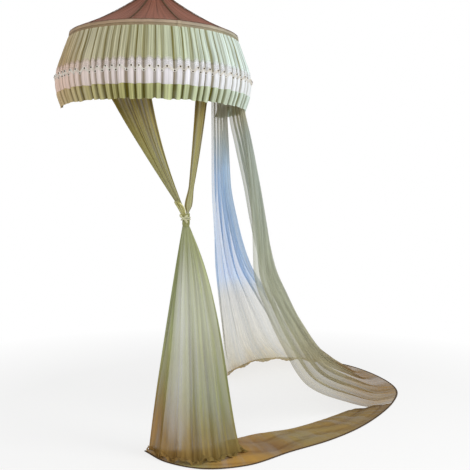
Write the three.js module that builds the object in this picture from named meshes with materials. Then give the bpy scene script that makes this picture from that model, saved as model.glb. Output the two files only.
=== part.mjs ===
// Bed crown canopy: a net canopy with a frilled crown that hangs from one ceiling hook.
// Millimetres, +Z up. The origin is the middle of the ceiling plate's top face, and the rest is below it.
// -Y is the open side of the canopy, and the train sweeps away to +X and +Y.
import * as THREE from "three";

// Driving dimensions: heights
const HOOP_HEIGHT = 2183; // the hoop's centre line above the floor
const CONE_RISE_HEIGHT = 267; // from the hoop's centre line up to the top of the cone
const HANGING_LENGTH = 150; // from the top of the cone up to the ceiling
const TIE_HEIGHT = 1250; // the tie band's middle above the floor

// Driving dimensions: crown
const HOOP_RADIUS = 432;
const HOOP_TUBE_RADIUS = 4;
const HOOP_SEGMENTS = 4;
const CONE_PANELS = 12;
const FRILL_FOLDS = 58; // round the whole hoop
const UPPER_VALANCE_DEPTH = 170;
const LACE_DEPTH = 126;
const HEM_RUFFLE_DEPTH = 66;
const BAND_DEPTH = 38; // the plain band that holds the hoop

// Driving dimensions: net and how far it spreads
const NET_THICKNESS = 1.2;
const TRAIN_WIDTH = 1800; // from the crown's axis to the train's tip, along X
const TRAIN_DEPTH = 2300; // from the crown's axis to the hem behind the bed, along Y
const NECK_RADIUS = 20; // the gathered curtain where it is tied
const NECK_OFFSET_X = 161;
const NECK_OFFSET_Y = -222;

// Clearances and small sizes that several pieces share
const GAP_WIDTH = 0.3; // between pieces that touch
const SEAM_LAP_WIDTH = 8; // how far one sewn tier laps over the next

const APEX_Z = -HANGING_LENGTH;
const HOOP_Z = APEX_Z - CONE_RISE_HEIGHT;
const FLOOR = HOOP_Z - HOOP_HEIGHT;
const TIE_Z = FLOOR + TIE_HEIGHT;
const FULL_TURN = 2 * Math.PI;

// Finishes, with colours seen in the photograph
const finish = (colour, roughness, metalness) =>
  new THREE.MeshStandardMaterial({ color: colour, roughness, metalness });
const enamel = finish("#e9e4d8", 0.45, 0.1);
const steel = finish("#b9bbbd", 0.35, 1);
const plastic = finish("#e6e2d6", 0.5, 0);
const roseNet = finish("#775647", 0.85, 0);
const seamTape = finish("#5d4a36", 0.9, 0);
const khakiTape = finish("#87785b", 0.9, 0);
const sageCotton = finish("#b5c4a4", 0.9, 0);
const whiteLace = finish("#e4e2da", 0.9, 0);
const greenCotton = finish("#92a06e", 0.9, 0);
const sageNet = finish("#a3a67c", 0.85, 0);
const skyNet = finish("#b1bfcd", 0.85, 0);
const ochreNet = finish("#a08457", 0.85, 0);
const oliveBinding = finish("#5f5436", 0.9, 0);

const canopy = new THREE.Group();

function addPiece(name, geometry, material, place = new THREE.Vector3()) {
  const mesh = new THREE.Mesh(geometry, material);
  mesh.name = name;
  mesh.position.copy(place);
  canopy.add(mesh);
}

const radians = (degrees) => THREE.MathUtils.degToRad(degrees);

const onCircle = (radius, degrees, z) =>
  new THREE.Vector3(radius * Math.cos(radians(degrees)), radius * Math.sin(radians(degrees)), z);

// A solid of revolution about Z from [radius, height] points that close on themselves or end on the axis
function turned(points, steps) {
  const profile = points.map(([radius, height]) => new THREE.Vector2(radius, height));
  const geometry = new THREE.LatheGeometry(profile, steps);
  geometry.rotateX(Math.PI / 2);
  return geometry;
}

function meshOf(positions, index) {
  const geometry = new THREE.BufferGeometry();
  geometry.setAttribute("position", new THREE.Float32BufferAttribute(positions, 3));
  geometry.setIndex(index);
  geometry.computeVertexNormals();
  return geometry;
}

// A regular outline for rods and tubes
function roundShape(radius, sides) {
  const points = [];
  for (let i = 0; i < sides; i++) {
    const angle = (i / sides) * FULL_TURN;
    points.push(new THREE.Vector2(radius * Math.cos(angle), radius * Math.sin(angle)));
  }
  return new THREE.Shape(points);
}

function sweptAlong(shape, points, steps, closed = false) {
  const path = new THREE.CatmullRomCurve3(points, closed);
  return new THREE.ExtrudeGeometry(shape, { extrudePath: path, steps, bevelEnabled: false });
}

function signedVolume(positions, index) {
  const at = (i) => new THREE.Vector3().fromArray(positions, 3 * i);
  let volume = 0;
  for (let i = 0; i < index.length; i += 3)
    volume += at(index[i]).dot(at(index[i + 1]).cross(at(index[i + 2])));
  return volume;
}

// The direction square to a grid of points at one of them
function gridNormal(grid, i, j, round) {
  const columns = grid.length;
  const before = round ? (i + columns - 1) % columns : Math.max(i - 1, 0);
  const after = round ? (i + 1) % columns : Math.min(i + 1, columns - 1);
  const along = grid[after][j].clone().sub(grid[before][j]);
  const last = grid[i].length - 1;
  const down = grid[i][Math.min(j + 1, last)].clone().sub(grid[i][Math.max(j - 1, 0)]);
  return along.cross(down).normalize();
}

// A closed thin shell of the given thickness about a grid of points.
// Where round is true, its last column is joined to its first.
function cloth(grid, thickness, round = false) {
  const columns = grid.length;
  const rows = grid[0].length;
  const positions = [];
  for (const side of [0.5, -0.5])
    for (let i = 0; i < columns; i++)
      for (let j = 0; j < rows; j++) {
        const normal = gridNormal(grid, i, j, round);
        positions.push(...grid[i][j].clone().addScaledVector(normal, side * thickness).toArray());
      }
  const index = [];
  const front = (i, j) => (i % columns) * rows + j;
  const back = (i, j) => columns * rows + front(i, j);
  const quad = (a, b, c, d) => index.push(a, b, c, a, c, d);
  const spans = round ? columns : columns - 1;
  for (let i = 0; i < spans; i++) {
    for (let j = 0; j < rows - 1; j++) {
      quad(front(i, j), front(i, j + 1), front(i + 1, j + 1), front(i + 1, j));
      quad(back(i, j), back(i + 1, j), back(i + 1, j + 1), back(i, j + 1));
    }
    quad(front(i, 0), front(i + 1, 0), back(i + 1, 0), back(i, 0));
    const low = rows - 1;
    quad(front(i, low), back(i, low), back(i + 1, low), front(i + 1, low));
  }
  if (!round)
    for (let j = 0; j < rows - 1; j++) {
      const end = columns - 1;
      quad(front(0, j), back(0, j), back(0, j + 1), front(0, j + 1));
      quad(front(end, j), front(end, j + 1), back(end, j + 1), back(end, j));
    }
  if (signedVolume(positions, index) < 0) index.reverse();
  return meshOf(positions, index);
}

// Points of a sheet at even steps of u across and v down, pushed in and out by its folds
function foldedGrid({ columns, rows, at, folds, depth }) {
  const flat = [];
  for (let i = 0; i <= columns; i++) {
    flat.push([]);
    for (let j = 0; j <= rows; j++) flat[i].push(at(i / columns, j / rows));
  }
  return flat.map((column, i) =>
    column.map((point, j) => {
      const wave = Math.cos((i / columns) * folds * FULL_TURN);
      const push = depth(i / columns, j / rows) * wave;
      return point.clone().addScaledVector(gridNormal(flat, i, j, false), push);
    }),
  );
}

// Reads a table of [position share, value share] pairs as straight lines from one pair to the next
function readShares(table, position) {
  let k = 0;
  while (k < table.length - 2 && position > table[k + 1][0]) k++;
  const [x0, y0] = table[k];
  const [x1, y1] = table[k + 1];
  return y0 + ((y1 - y0) * (position - x0)) / (x1 - x0);
}

// Ceiling plate, its two screws and the open hook below it
const PLATE_RADIUS = 30;
const PLATE_THICKNESS = 5;
const PLATE_EDGE_WIDTH = 1.5; // the chamfer round the plate's lower edge
const SCREW_PITCH = 38; // between the two screws
const SCREW_HEAD_RADIUS = 4.5;
const SCREW_HEAD_HEIGHT = 2.4;
const HOOK_WIRE_RADIUS = 2.5;
const HOOK_BEND_RADIUS = 12;
const HOOK_SHANK_LENGTH = 16; // from the plate down to the hook's bend

function makeCeilingPlate() {
  const rim = PLATE_RADIUS - PLATE_EDGE_WIDTH;
  const low = -PLATE_THICKNESS;
  const edge = low + PLATE_EDGE_WIDTH;
  const profile = [[0, low], [rim, low], [PLATE_RADIUS, edge], [PLATE_RADIUS, 0], [0, 0]];
  addPiece("ceiling_plate", turned(profile, 32), enamel);
}

function makeScrews() {
  const top = -PLATE_THICKNESS - GAP_WIDTH;
  const crown = top - SCREW_HEAD_HEIGHT;
  const shoulder = top - SCREW_HEAD_HEIGHT / 2;
  const rim = SCREW_HEAD_RADIUS;
  const profile = [[0, crown], [rim / 2, crown], [rim, shoulder], [rim, top], [0, top]];
  for (const side of [-1, 1]) {
    const place = new THREE.Vector3(0, (side * SCREW_PITCH) / 2, 0);
    addPiece(side < 0 ? "ceiling_screw_1" : "ceiling_screw_2", turned(profile, 12), steel, place);
  }
}

const HOOK_CENTRE_Z = -PLATE_THICKNESS - HOOK_SHANK_LENGTH - HOOK_BEND_RADIUS;
const HOOK_LOW_Z = HOOK_CENTRE_Z - HOOK_BEND_RADIUS;
const HOOK_START_ANGLE = 50;
const HOOK_END_ANGLE = -205;
const HOOK_STEP = 15;

function makeHook() {
  const top = -PLATE_THICKNESS - GAP_WIDTH;
  const points = [new THREE.Vector3(0, 0, top), new THREE.Vector3(0, 0, top - HOOK_SHANK_LENGTH / 2)];
  for (let angle = HOOK_START_ANGLE; angle >= HOOK_END_ANGLE; angle -= HOOK_STEP) {
    const x = HOOK_BEND_RADIUS * Math.cos(radians(angle));
    const z = HOOK_CENTRE_Z + HOOK_BEND_RADIUS * Math.sin(radians(angle));
    points.push(new THREE.Vector3(x, 0, z));
  }
  addPiece("ceiling_hook", sweptAlong(roundShape(HOOK_WIRE_RADIUS, 8), points, 34), steel);
}

// The ring on the hook, and the webbing loop that sews it to the crown's cap
const RING_RADIUS = 18;
const RING_WIRE_RADIUS = 2;
const LOOP_WIDTH = 10;
const WEBBING_THICKNESS = 1.4;
const LOOP_FOOT_LENGTH = 12; // how far each sewn foot of the loop lies along the cap
const APEX_RADIUS = 20; // the cone panels' upper edges
const CAP_RADIUS = 38;
const CAP_THICKNESS = 3;
const cap_slope_share = 0.873; // of the cone's slope at its top, so the cap stays clear of the panels

const RING_Z = HOOK_LOW_Z + HOOK_WIRE_RADIUS + GAP_WIDTH + RING_WIRE_RADIUS - RING_RADIUS;
const CAP_TOP_Z = APEX_Z + CAP_THICKNESS + GAP_WIDTH;

function makeRing() {
  const ring = new THREE.TorusGeometry(RING_RADIUS, RING_WIRE_RADIUS, 8, 28);
  ring.rotateY(Math.PI / 2);
  addPiece("hanging_ring", ring, steel, new THREE.Vector3(0, 0, RING_Z));
}

// The loop's outline is a long staple: its bend goes over the ring's lowest wire and its feet lie on the cap
function makeLoop() {
  const inner = RING_RADIUS - RING_WIRE_RADIUS;
  const curveRise = inner - Math.sqrt(inner ** 2 - (LOOP_WIDTH / 2) ** 2);
  const bendRadius = RING_WIRE_RADIUS + GAP_WIDTH + curveRise;
  const bendZ = RING_Z - RING_RADIUS;
  const footZ = CAP_TOP_Z + GAP_WIDTH;
  const outer = bendRadius + WEBBING_THICKNESS;
  const shape = new THREE.Shape();
  shape.moveTo(-outer - LOOP_FOOT_LENGTH, footZ);
  shape.lineTo(-bendRadius, footZ);
  shape.lineTo(-bendRadius, bendZ);
  shape.absarc(0, bendZ, bendRadius, Math.PI, 0, true);
  shape.lineTo(bendRadius, footZ);
  shape.lineTo(outer + LOOP_FOOT_LENGTH, footZ);
  shape.lineTo(outer + LOOP_FOOT_LENGTH, footZ + WEBBING_THICKNESS);
  shape.lineTo(outer, footZ + WEBBING_THICKNESS);
  shape.lineTo(outer, bendZ);
  shape.absarc(0, bendZ, outer, 0, Math.PI, false);
  shape.lineTo(-outer, footZ + WEBBING_THICKNESS);
  shape.lineTo(-outer - LOOP_FOOT_LENGTH, footZ + WEBBING_THICKNESS);
  const options = { depth: LOOP_WIDTH, bevelEnabled: false, curveSegments: 6 };
  const loop = new THREE.ExtrudeGeometry(shape, options);
  loop.translate(0, 0, -LOOP_WIDTH / 2);
  loop.rotateX(Math.PI / 2);
  addPiece("hanging_loop", loop, khakiTape);
}

// The cap is flat on top, where the loop's feet are sewn, and slopes down over the top of the cone
function makeCap() {
  const flat = APEX_RADIUS + 2 * NET_THICKNESS;
  const under = CAP_TOP_Z - CAP_THICKNESS;
  const rim = CAP_TOP_Z - (CAP_RADIUS - flat) * coneTopSlope * cap_slope_share;
  const points = [
    [0, under],
    [flat, under],
    [CAP_RADIUS, rim - CAP_THICKNESS],
    [CAP_RADIUS, rim],
    [flat, CAP_TOP_Z],
    [0, CAP_TOP_Z],
  ];
  addPiece("top_cap", turned(points, 24), khakiTape);
}

// Cone: a washer inside the apex, sewn panels that sag a little in their middles, and a tape over each seam
const WASHER_LAP_WIDTH = 4; // how far the washer reaches out under the panels
const WASHER_THICKNESS = 2;
const TAPE_WIDTH = 7;
const TAPE_THICKNESS = 1;
const PANEL_SAG_DEPTH = 5; // inwards, in the middle of a panel
const BAND_WALL_THICKNESS = 1.5;
const CONNECTOR_WALL_THICKNESS = 1.8;
const CONNECTOR_LENGTH = 44;
const CONNECTOR_CLEARANCE = 0.8; // between the hoop's tube and a connector's bore
const connectorRadius = HOOP_TUBE_RADIUS + CONNECTOR_CLEARANCE + CONNECTOR_WALL_THICKNESS;
const BAND_CLEARANCE = 1.4; // the band's flat facets cut in by nearly as much between their corners
const bandReach = connectorRadius + BAND_CLEARANCE; // from the hoop's centre line to the band's inner faces
const bandOuterRadius = HOOP_RADIUS + bandReach + BAND_WALL_THICKNESS;
const bandInnerRadius = HOOP_RADIUS - bandReach - BAND_WALL_THICKNESS;
const bandTopZ = HOOP_Z + connectorRadius + GAP_WIDTH + BAND_WALL_THICKNESS;
const bandLowZ = bandTopZ - BAND_DEPTH;

// The cone droops between its apex and the hoop: [share of the way out, share of the way down]
const cone_line_shares = [
  [0, 0],
  [0.1, 0.14],
  [0.25, 0.32],
  [0.42, 0.5],
  [0.6, 0.67],
  [0.8, 0.84],
  [1, 1],
];
const CONE_ROWS = cone_line_shares.length - 1;

const coneTopZ = APEX_Z + GAP_WIDTH - NET_THICKNESS;
const coneLowZ = bandTopZ + GAP_WIDTH + NET_THICKNESS;
const coneWidth = HOOP_RADIUS + bandReach - APEX_RADIUS;
const [firstOut, firstFall] = cone_line_shares[1];
const coneTopSlope = (firstFall * (coneTopZ - coneLowZ)) / (firstOut * coneWidth);

function conePoint(down, degrees, lift) {
  const [out, fall] = cone_line_shares[down];
  const radius = APEX_RADIUS + out * coneWidth;
  const z = coneTopZ - fall * (coneTopZ - coneLowZ) + lift;
  return onCircle(radius, degrees, z);
}

function makeConePanels() {
  const sector = 360 / CONE_PANELS;
  for (let k = 0; k < CONE_PANELS; k++) {
    const grid = [-1, 0, 1].map((side) => {
      const column = [];
      for (let j = 0; j <= CONE_ROWS; j++) {
        const reach = cone_line_shares[j][0];
        const radius = APEX_RADIUS + reach * (HOOP_RADIUS - APEX_RADIUS);
        const seamGap = THREE.MathUtils.radToDeg(GAP_WIDTH / radius);
        const degrees = k * sector + (side * (sector - seamGap)) / 2;
        const sag = side === 0 ? -PANEL_SAG_DEPTH * Math.sin(Math.PI * reach) : 0;
        column.push(conePoint(j, degrees, sag));
      }
      return column;
    });
    addPiece(`cone_panel_${k + 1}`, cloth(grid, NET_THICKNESS), roseNet);
  }
}

function makeSeamTapes() {
  const sector = 360 / CONE_PANELS;
  const lift = NET_THICKNESS / 2 + TAPE_THICKNESS / 2 + 2 * GAP_WIDTH;
  for (let k = 0; k < CONE_PANELS; k++) {
    const grid = [-1, 1].map((side) => {
      const column = [];
      for (let j = 1; j <= CONE_ROWS; j++) {
        const middle = conePoint(j, (k + 0.5) * sector, lift);
        const across = onCircle(TAPE_WIDTH / 2, (k + 0.5) * sector + 90, 0);
        column.push(middle.addScaledVector(across, side));
      }
      return column;
    });
    addPiece(`seam_tape_${k + 1}`, cloth(grid, TAPE_THICKNESS), seamTape);
  }
}

function makeWasher() {
  const top = coneTopZ - WASHER_LAP_WIDTH * coneTopSlope - NET_THICKNESS - GAP_WIDTH;
  const low = top - WASHER_THICKNESS;
  const radius = APEX_RADIUS + WASHER_LAP_WIDTH;
  addPiece("apex_washer", turned([[0, low], [radius, low], [radius, top], [0, top]], 20), plastic);
}

// Hoop: tube segments whose ends meet inside connectors, all of it held by the band
const SEGMENT_END_GAP = 3; // between two segments' ends, inside a connector

function arcPoints(radius, from, to, steps, z) {
  const points = [];
  for (let i = 0; i <= steps; i++) points.push(onCircle(radius, from + ((to - from) * i) / steps, z));
  return points;
}

function makeHoop() {
  const sector = 360 / HOOP_SEGMENTS;
  const endGap = THREE.MathUtils.radToDeg(SEGMENT_END_GAP / 2 / HOOP_RADIUS);
  const sleeve = THREE.MathUtils.radToDeg(CONNECTOR_LENGTH / 2 / HOOP_RADIUS);
  for (let k = 0; k < HOOP_SEGMENTS; k++) {
    const from = (k + 0.5) * sector;
    const tube = roundShape(HOOP_TUBE_RADIUS, 6);
    const arc = arcPoints(HOOP_RADIUS, from + endGap, from + sector - endGap, 16, HOOP_Z);
    addPiece(`hoop_segment_${k + 1}`, sweptAlong(tube, arc, 16), steel);
    const wall = roundShape(connectorRadius, 8);
    wall.holes.push(roundShape(HOOP_TUBE_RADIUS + CONNECTOR_CLEARANCE, 8));
    const short = arcPoints(HOOP_RADIUS, from - sleeve, from + sleeve, 4, HOOP_Z);
    addPiece(`hoop_connector_${k + 1}`, sweptAlong(wall, short, 3), plastic);
  }
}

// The band is a folded tape: its bend lies over the hoop and its two walls hang down on both sides of it
function makeBand() {
  const inside = bandTopZ - BAND_WALL_THICKNESS;
  const outerWall = bandOuterRadius - BAND_WALL_THICKNESS;
  const innerWall = bandInnerRadius + BAND_WALL_THICKNESS;
  const points = [
    [bandOuterRadius, bandLowZ],
    [bandOuterRadius, bandTopZ],
    [bandInnerRadius, bandTopZ],
    [bandInnerRadius, bandLowZ],
    [innerWall, bandLowZ],
    [innerWall, inside],
    [outerWall, inside],
    [outerWall, bandLowZ],
    [bandOuterRadius, bandLowZ],
  ];
  addPiece("hoop_band", turned(points, 48), khakiTape);
}

// Frills: every tier follows one bulging, folded surface, and the tiers lie over one another in steps.
// The upper tier runs all round the hoop. The lace and hem tiers run from the left side, past the front, to
// the curtains on the right.
const RUFFLE_FROM = 184; // degrees round the hoop
const RUFFLE_TO = 404;
const frill_step_share = 1.4; // of the net and its gap: room for the folds' slanting sides
const frillStep = (NET_THICKNESS + GAP_WIDTH) * frill_step_share; // from one tier's middle out to the next
const FOLD_DEPTH_AT_BAND = 2; // how deep the folds are at the band and at the hem, to each side
const FOLD_DEPTH_AT_HEM = 8;
const TRIM_WIDTH = 34;
const TRIM_DROP_LENGTH = 22; // from the lace's seam down to the trim
const frillTopZ = bandLowZ + SEAM_LAP_WIDTH;
const laceSeamZ = frillTopZ - UPPER_VALANCE_DEPTH;
const laceTopZ = laceSeamZ + SEAM_LAP_WIDTH;
const trimTopZ = laceSeamZ - TRIM_DROP_LENGTH;
const ruffleSeamZ = laceTopZ - LACE_DEPTH;
const ruffleTopZ = ruffleSeamZ + SEAM_LAP_WIDTH;
const hemZ = ruffleTopZ - HEM_RUFFLE_DEPTH;
const upperMiddleZ = (frillTopZ + laceSeamZ) / 2;
const laceMiddleZ = (laceSeamZ + ruffleSeamZ) / 2;
const frill_levels = [frillTopZ, upperMiddleZ, laceSeamZ, laceMiddleZ, ruffleSeamZ, hemZ];
const frill_radius_shares = [1.083, 1.149, 1.164, 1.138, 1.09]; // of the hoop's radius, below the top level
const frillTopRadius = bandOuterRadius + FOLD_DEPTH_AT_BAND + NET_THICKNESS / 2 + GAP_WIDTH;
const frillRadii = [frillTopRadius, ...frill_radius_shares.map((share) => share * HOOP_RADIUS)];

function frillRadius(z) {
  let k = 0;
  while (k < frill_levels.length - 2 && z < frill_levels[k + 1]) k++;
  const down = (frill_levels[k] - z) / (frill_levels[k] - frill_levels[k + 1]);
  return THREE.MathUtils.lerp(frillRadii[k], frillRadii[k + 1], down);
}

const FRILL_PITCH = 360 / (2 * FRILL_FOLDS);

// column counts half folds round the hoop, so every tier's folds stand over one another
function frillPoint(column, z, tier) {
  const down = (frillTopZ - z) / (frillTopZ - hemZ);
  const depth = THREE.MathUtils.lerp(FOLD_DEPTH_AT_BAND, FOLD_DEPTH_AT_HEM, down);
  const wave = column % 2 ? -1 : 1;
  return onCircle(frillRadius(z) + depth * wave + tier * frillStep, column * FRILL_PITCH, z);
}

function makeFrill(name, tier, levels, material) {
  const whole = tier === 0;
  const from = whole ? 0 : Math.round(RUFFLE_FROM / FRILL_PITCH);
  const to = whole ? 2 * FRILL_FOLDS - 1 : Math.round(RUFFLE_TO / FRILL_PITCH);
  const grid = [];
  for (let column = from; column <= to; column++)
    grid.push(levels.map((z) => frillPoint(column, z, tier)));
  addPiece(name, cloth(grid, NET_THICKNESS, whole), material);
}

// Curtains hang from the lower edge of the band's inner wall
const curtainTopRadius = bandInnerRadius + BAND_WALL_THICKNESS / 2;
const netBelow = NET_THICKNESS / 2 + GAP_WIDTH; // from a face down to the middle of the net just under it
const curtainTopZ = bandLowZ - netBelow;
const CURTAIN_FOLD_DEPTH = 9; // how deep the curtains' main folds are, to each side

// Neck: the gathered net where the tie holds it, a straight fluted column
const NECK_HEIGHT_ABOVE = 26; // above the tie's middle
const NECK_HEIGHT_BELOW = 44; // below the tie's middle
const NECK_FLUTES = 8;
const NECK_FLUTE_DEPTH = 1.5;
const neck = new THREE.Vector3(NECK_OFFSET_X, NECK_OFFSET_Y, TIE_Z);

function makeNeck() {
  const points = [];
  for (let i = 0; i < 2 * NECK_FLUTES; i++) {
    const radius = NECK_RADIUS - (i % 2) * NECK_FLUTE_DEPTH;
    const angle = (i / (2 * NECK_FLUTES)) * FULL_TURN;
    points.push(new THREE.Vector2(radius * Math.cos(angle), radius * Math.sin(angle)));
  }
  const options = { depth: NECK_HEIGHT_ABOVE + NECK_HEIGHT_BELOW, bevelEnabled: false };
  const column = new THREE.ExtrudeGeometry(new THREE.Shape(points), options);
  addPiece("gathered_neck", column, sageNet, neck.clone().setZ(TIE_Z - NECK_HEIGHT_BELOW));
}

// A point on the upper face of the neck's rim, where the swags are gathered
const neckRim = (degrees, z, share = 1) =>
  onCircle(NECK_RADIUS * share, degrees, z).add(new THREE.Vector3(NECK_OFFSET_X, NECK_OFFSET_Y, 0));

const SWAG_RIM_SHARE = 0.8; // of the neck's radius, where the swags and the fan meet it

// Each swag runs from the hoop to the neck. slack bends it towards a plumb line under the hoop.
const leftSwag = { from: 206, to: 264, slackFrom: 1.05, slackTo: 1.9, rimFrom: 170, rimTo: 262, folds: 5 };
const frontFold = { from: 300, to: 312, slackFrom: 1.5, slackTo: 1.6, rimFrom: 318, rimTo: 352, folds: 1 };

function swagPoint(swag, u, v) {
  const top = onCircle(curtainTopRadius, swag.from + (swag.to - swag.from) * u, curtainTopZ);
  const rim = swag.rimFrom + (swag.rimTo - swag.rimFrom) * u;
  const foot = neckRim(rim, TIE_Z + NECK_HEIGHT_ABOVE + NET_THICKNESS, SWAG_RIM_SHARE);
  const slack = swag.slackFrom + (swag.slackTo - swag.slackFrom) * u;
  const run = Math.pow(v, slack);
  const point = top.clone().lerp(foot, run);
  return point.setZ(top.z + (foot.z - top.z) * v);
}

function makeSwag(name, swag, columns, rows) {
  const grid = foldedGrid({
    columns,
    rows,
    folds: swag.folds,
    at: (u, v) => swagPoint(swag, u, v),
    depth: (u, v) => CURTAIN_FOLD_DEPTH * (1 - v) ** 0.7,
  });
  addPiece(name, cloth(grid, NET_THICKNESS), sageNet);
}

// Tie: a band that slides a little way down the neck, and its knot
const TIE_WIDTH = 16;
const TIE_THICKNESS = 2;
const KNOT_LENGTH = 24;
const KNOT_HEIGHT = 20;
const KNOT_DEPTH = 15;
const KNOT_ANGLE = 245; // where the knot sits round the neck
const BUNCH_HEIGHT = 84; // the loose edge that fans out above the tie
const BUNCH_WIDTH = 46;
const BUNCH_ROOT_WIDTH = 9;
const BUNCH_LEAN_LENGTH = 45; // how far its top leans out from the neck
const BUNCH_ANGLE = 228;
const BUNCH_FOLD_DEPTH = 3;
const bunch_fold_shares = [0.3, 1]; // of that depth, at its root and its top

function makeTieBand() {
  const inner = NECK_RADIUS + GAP_WIDTH;
  const outer = inner + TIE_THICKNESS;
  const half = TIE_WIDTH / 2;
  const ring = turned([[inner, -half], [outer, -half], [outer, half], [inner, half], [inner, -half]], 24);
  addPiece("tie_band", ring, sageCotton, neck);
}

function makeKnot() {
  const knot = new THREE.SphereGeometry(KNOT_DEPTH / 2, 12, 8);
  knot.scale(1, KNOT_LENGTH / KNOT_DEPTH, KNOT_HEIGHT / KNOT_DEPTH);
  knot.rotateZ(radians(KNOT_ANGLE));
  const reach = NECK_RADIUS + TIE_THICKNESS + 2 * GAP_WIDTH + KNOT_DEPTH / 2;
  addPiece("tie_knot", knot, sageCotton, neck.clone().add(onCircle(reach, KNOT_ANGLE, 0)));
}

function makeBunchedEdge() {
  const rootRadius = NECK_RADIUS + BUNCH_FOLD_DEPTH * bunch_fold_shares[0] + NET_THICKNESS / 2 + GAP_WIDTH;
  const root = onCircle(rootRadius, BUNCH_ANGLE, TIE_WIDTH / 2 + NET_THICKNESS);
  const outward = onCircle(1, BUNCH_ANGLE, 0);
  const across = onCircle(1, BUNCH_ANGLE + 90, 0);
  const grid = foldedGrid({
    columns: 12,
    rows: 3,
    folds: 3,
    at: (u, v) => {
      const width = THREE.MathUtils.lerp(BUNCH_ROOT_WIDTH, BUNCH_WIDTH, v);
      const point = neck.clone().add(root);
      point.addScaledVector(outward, BUNCH_LEAN_LENGTH * v ** 1.5);
      point.addScaledVector(across, (u - 0.5) * width);
      return point.setZ(point.z + BUNCH_HEIGHT * v);
    },
    depth: (u, v) => BUNCH_FOLD_DEPTH * THREE.MathUtils.lerp(...bunch_fold_shares, v),
  });
  addPiece("bunched_edge", cloth(grid, NET_THICKNESS), sageNet);
}

// Places on the floor are shares of the train's width and depth
const onFloor = ([x, y], lift) => new THREE.Vector3(x * TRAIN_WIDTH, y * TRAIN_DEPTH, FLOOR + lift);
const floorCurve = (table, lift) => new THREE.CatmullRomCurve3(table.map((point) => onFloor(point, lift)));

// The hem on the floor, from the left foot round the front and the train's tip to the back
const hem_line_shares = [
  [-0.022, -0.017],
  [0.041, -0.096],
  [0.141, -0.143],
  [0.263, -0.13],
  [0.402, -0.05],
  [0.55, 0.03],
  [0.7, 0.145],
  [0.88, 0.35],
  [0.955, 0.5],
  [0.947, 0.674],
  [0.867, 0.848],
  [0.711, 0.965],
  [0.506, 0.965],
  [0.322, 0.761],
];
const HEM_SPANS = hem_line_shares.length - 1;
const LEADING_POINT = 7; // the hem point where the right curtain's free edge ends
const CORNER_POINT = 10; // the hem point where the right curtain meets the back one
const CORNER_PARTING = 0.1; // how far the two curtains part there, as a share of one hem span
const TRAIN_END_POINT = 6.6;

const train_inner_shares = [
  [-0.002, 0.004],
  [0.074, -0.008],
  [0.151, 0.01],
  [0.234, 0.043],
  [0.328, 0.087],
  [0.445, 0.122],
  [0.567, 0.191],
  [0.693, 0.278],
];
const fan_foot_shares = [
  [-0.017, 0.004],
  [0.027, -0.07],
  [0.112, -0.108],
  [0.197, -0.096],
  [0.266, -0.043],
];

const BINDING_RADIUS = 2.5;
const BINDING_CLEARANCE = 1.5; // what the cloth's straight facets need beside the binding's curve
const RIPPLE_HEIGHT = 2; // how far the net on the floor ripples up and down
const layLift = RIPPLE_HEIGHT + NET_THICKNESS; // the middle of net that lies on the floor
const hemCurve = floorCurve(hem_line_shares, layLift);

// How each free edge falls: [share of the way out to the hem, share of the height], from the hoop down
const leading_fall_shares = [
  [0, 1], [0.012, 0.91], [0.02, 0.832], [0.068, 0.77], [0.08, 0.67], [0.092, 0.56], [0.125, 0.44],
  [0.2, 0.34], [0.3, 0.245], [0.44, 0.13], [0.66, 0.055], [0.86, 0.008], [1, 0],
];
const corner_fall_shares = [
  [0, 1], [0.01, 0.91], [0.016, 0.832], [0.062, 0.77], [0.115, 0.67], [0.165, 0.56], [0.235, 0.45],
  [0.325, 0.36], [0.44, 0.26], [0.59, 0.155], [0.75, 0.08], [0.9, 0.02], [1, 0],
];
const slit_fall_shares = [
  [0, 1], [0.004, 0.91], [0.008, 0.832], [0.012, 0.77], [0.02, 0.67], [0.07, 0.56], [0.15, 0.45],
  [0.27, 0.36], [0.42, 0.26], [0.58, 0.155], [0.75, 0.08], [0.9, 0.02], [1, 0],
];
const back_fall_shares = [
  [0, 1], [0.01, 0.91], [0.02, 0.832], [0.04, 0.77], [0.06, 0.67], [0.1, 0.56], [0.18, 0.44],
  [0.3, 0.34], [0.42, 0.25], [0.56, 0.15], [0.72, 0.07], [0.88, 0.01], [1, 0],
];
const FALL_ROWS = leading_fall_shares.length - 1;

const rightCurtain = {
  topFrom: -20, topTo: 20, hemFrom: LEADING_POINT, hemTo: CORNER_POINT,
  fallFrom: leading_fall_shares, fallTo: corner_fall_shares, folds: 6,
};
const backCurtain = {
  topFrom: 22.5, topTo: 40, hemFrom: CORNER_POINT + CORNER_PARTING, hemTo: HEM_SPANS,
  fallFrom: slit_fall_shares, fallTo: back_fall_shares, folds: 5,
};

function fallPoint(curtain, u, row) {
  const lerp = THREE.MathUtils.lerp;
  const top = onCircle(curtainTopRadius, lerp(curtain.topFrom, curtain.topTo, u), curtainTopZ);
  const foot = hemCurve.getPoint(lerp(curtain.hemFrom, curtain.hemTo, u) / HEM_SPANS);
  const run = lerp(curtain.fallFrom[row][0], curtain.fallTo[row][0], u);
  const height = lerp(curtain.fallFrom[row][1], curtain.fallTo[row][1], u);
  const point = top.clone().lerp(foot, run);
  return point.setZ(foot.z + (top.z - foot.z) * height);
}

const CURTAIN_COLUMNS_PER_FOLD = 4;
const WIDE_FOLD_DEPTH = 26; // the right and back curtains' folds where they are deepest

// Folds stay shallow inside the frills, are deepest half way down and die away on the floor
const foldGrowth = WIDE_FOLD_DEPTH - CURTAIN_FOLD_DEPTH;
const noFoldShare = -CURTAIN_FOLD_DEPTH / foldGrowth;
const fold_depth_shares = [[0, 0], [0.18, 0], [0.5, 1], [0.8, 0.8], [1, noFoldShare]];
const curtainFold = (v) => CURTAIN_FOLD_DEPTH + foldGrowth * readShares(fold_depth_shares, v);

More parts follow.
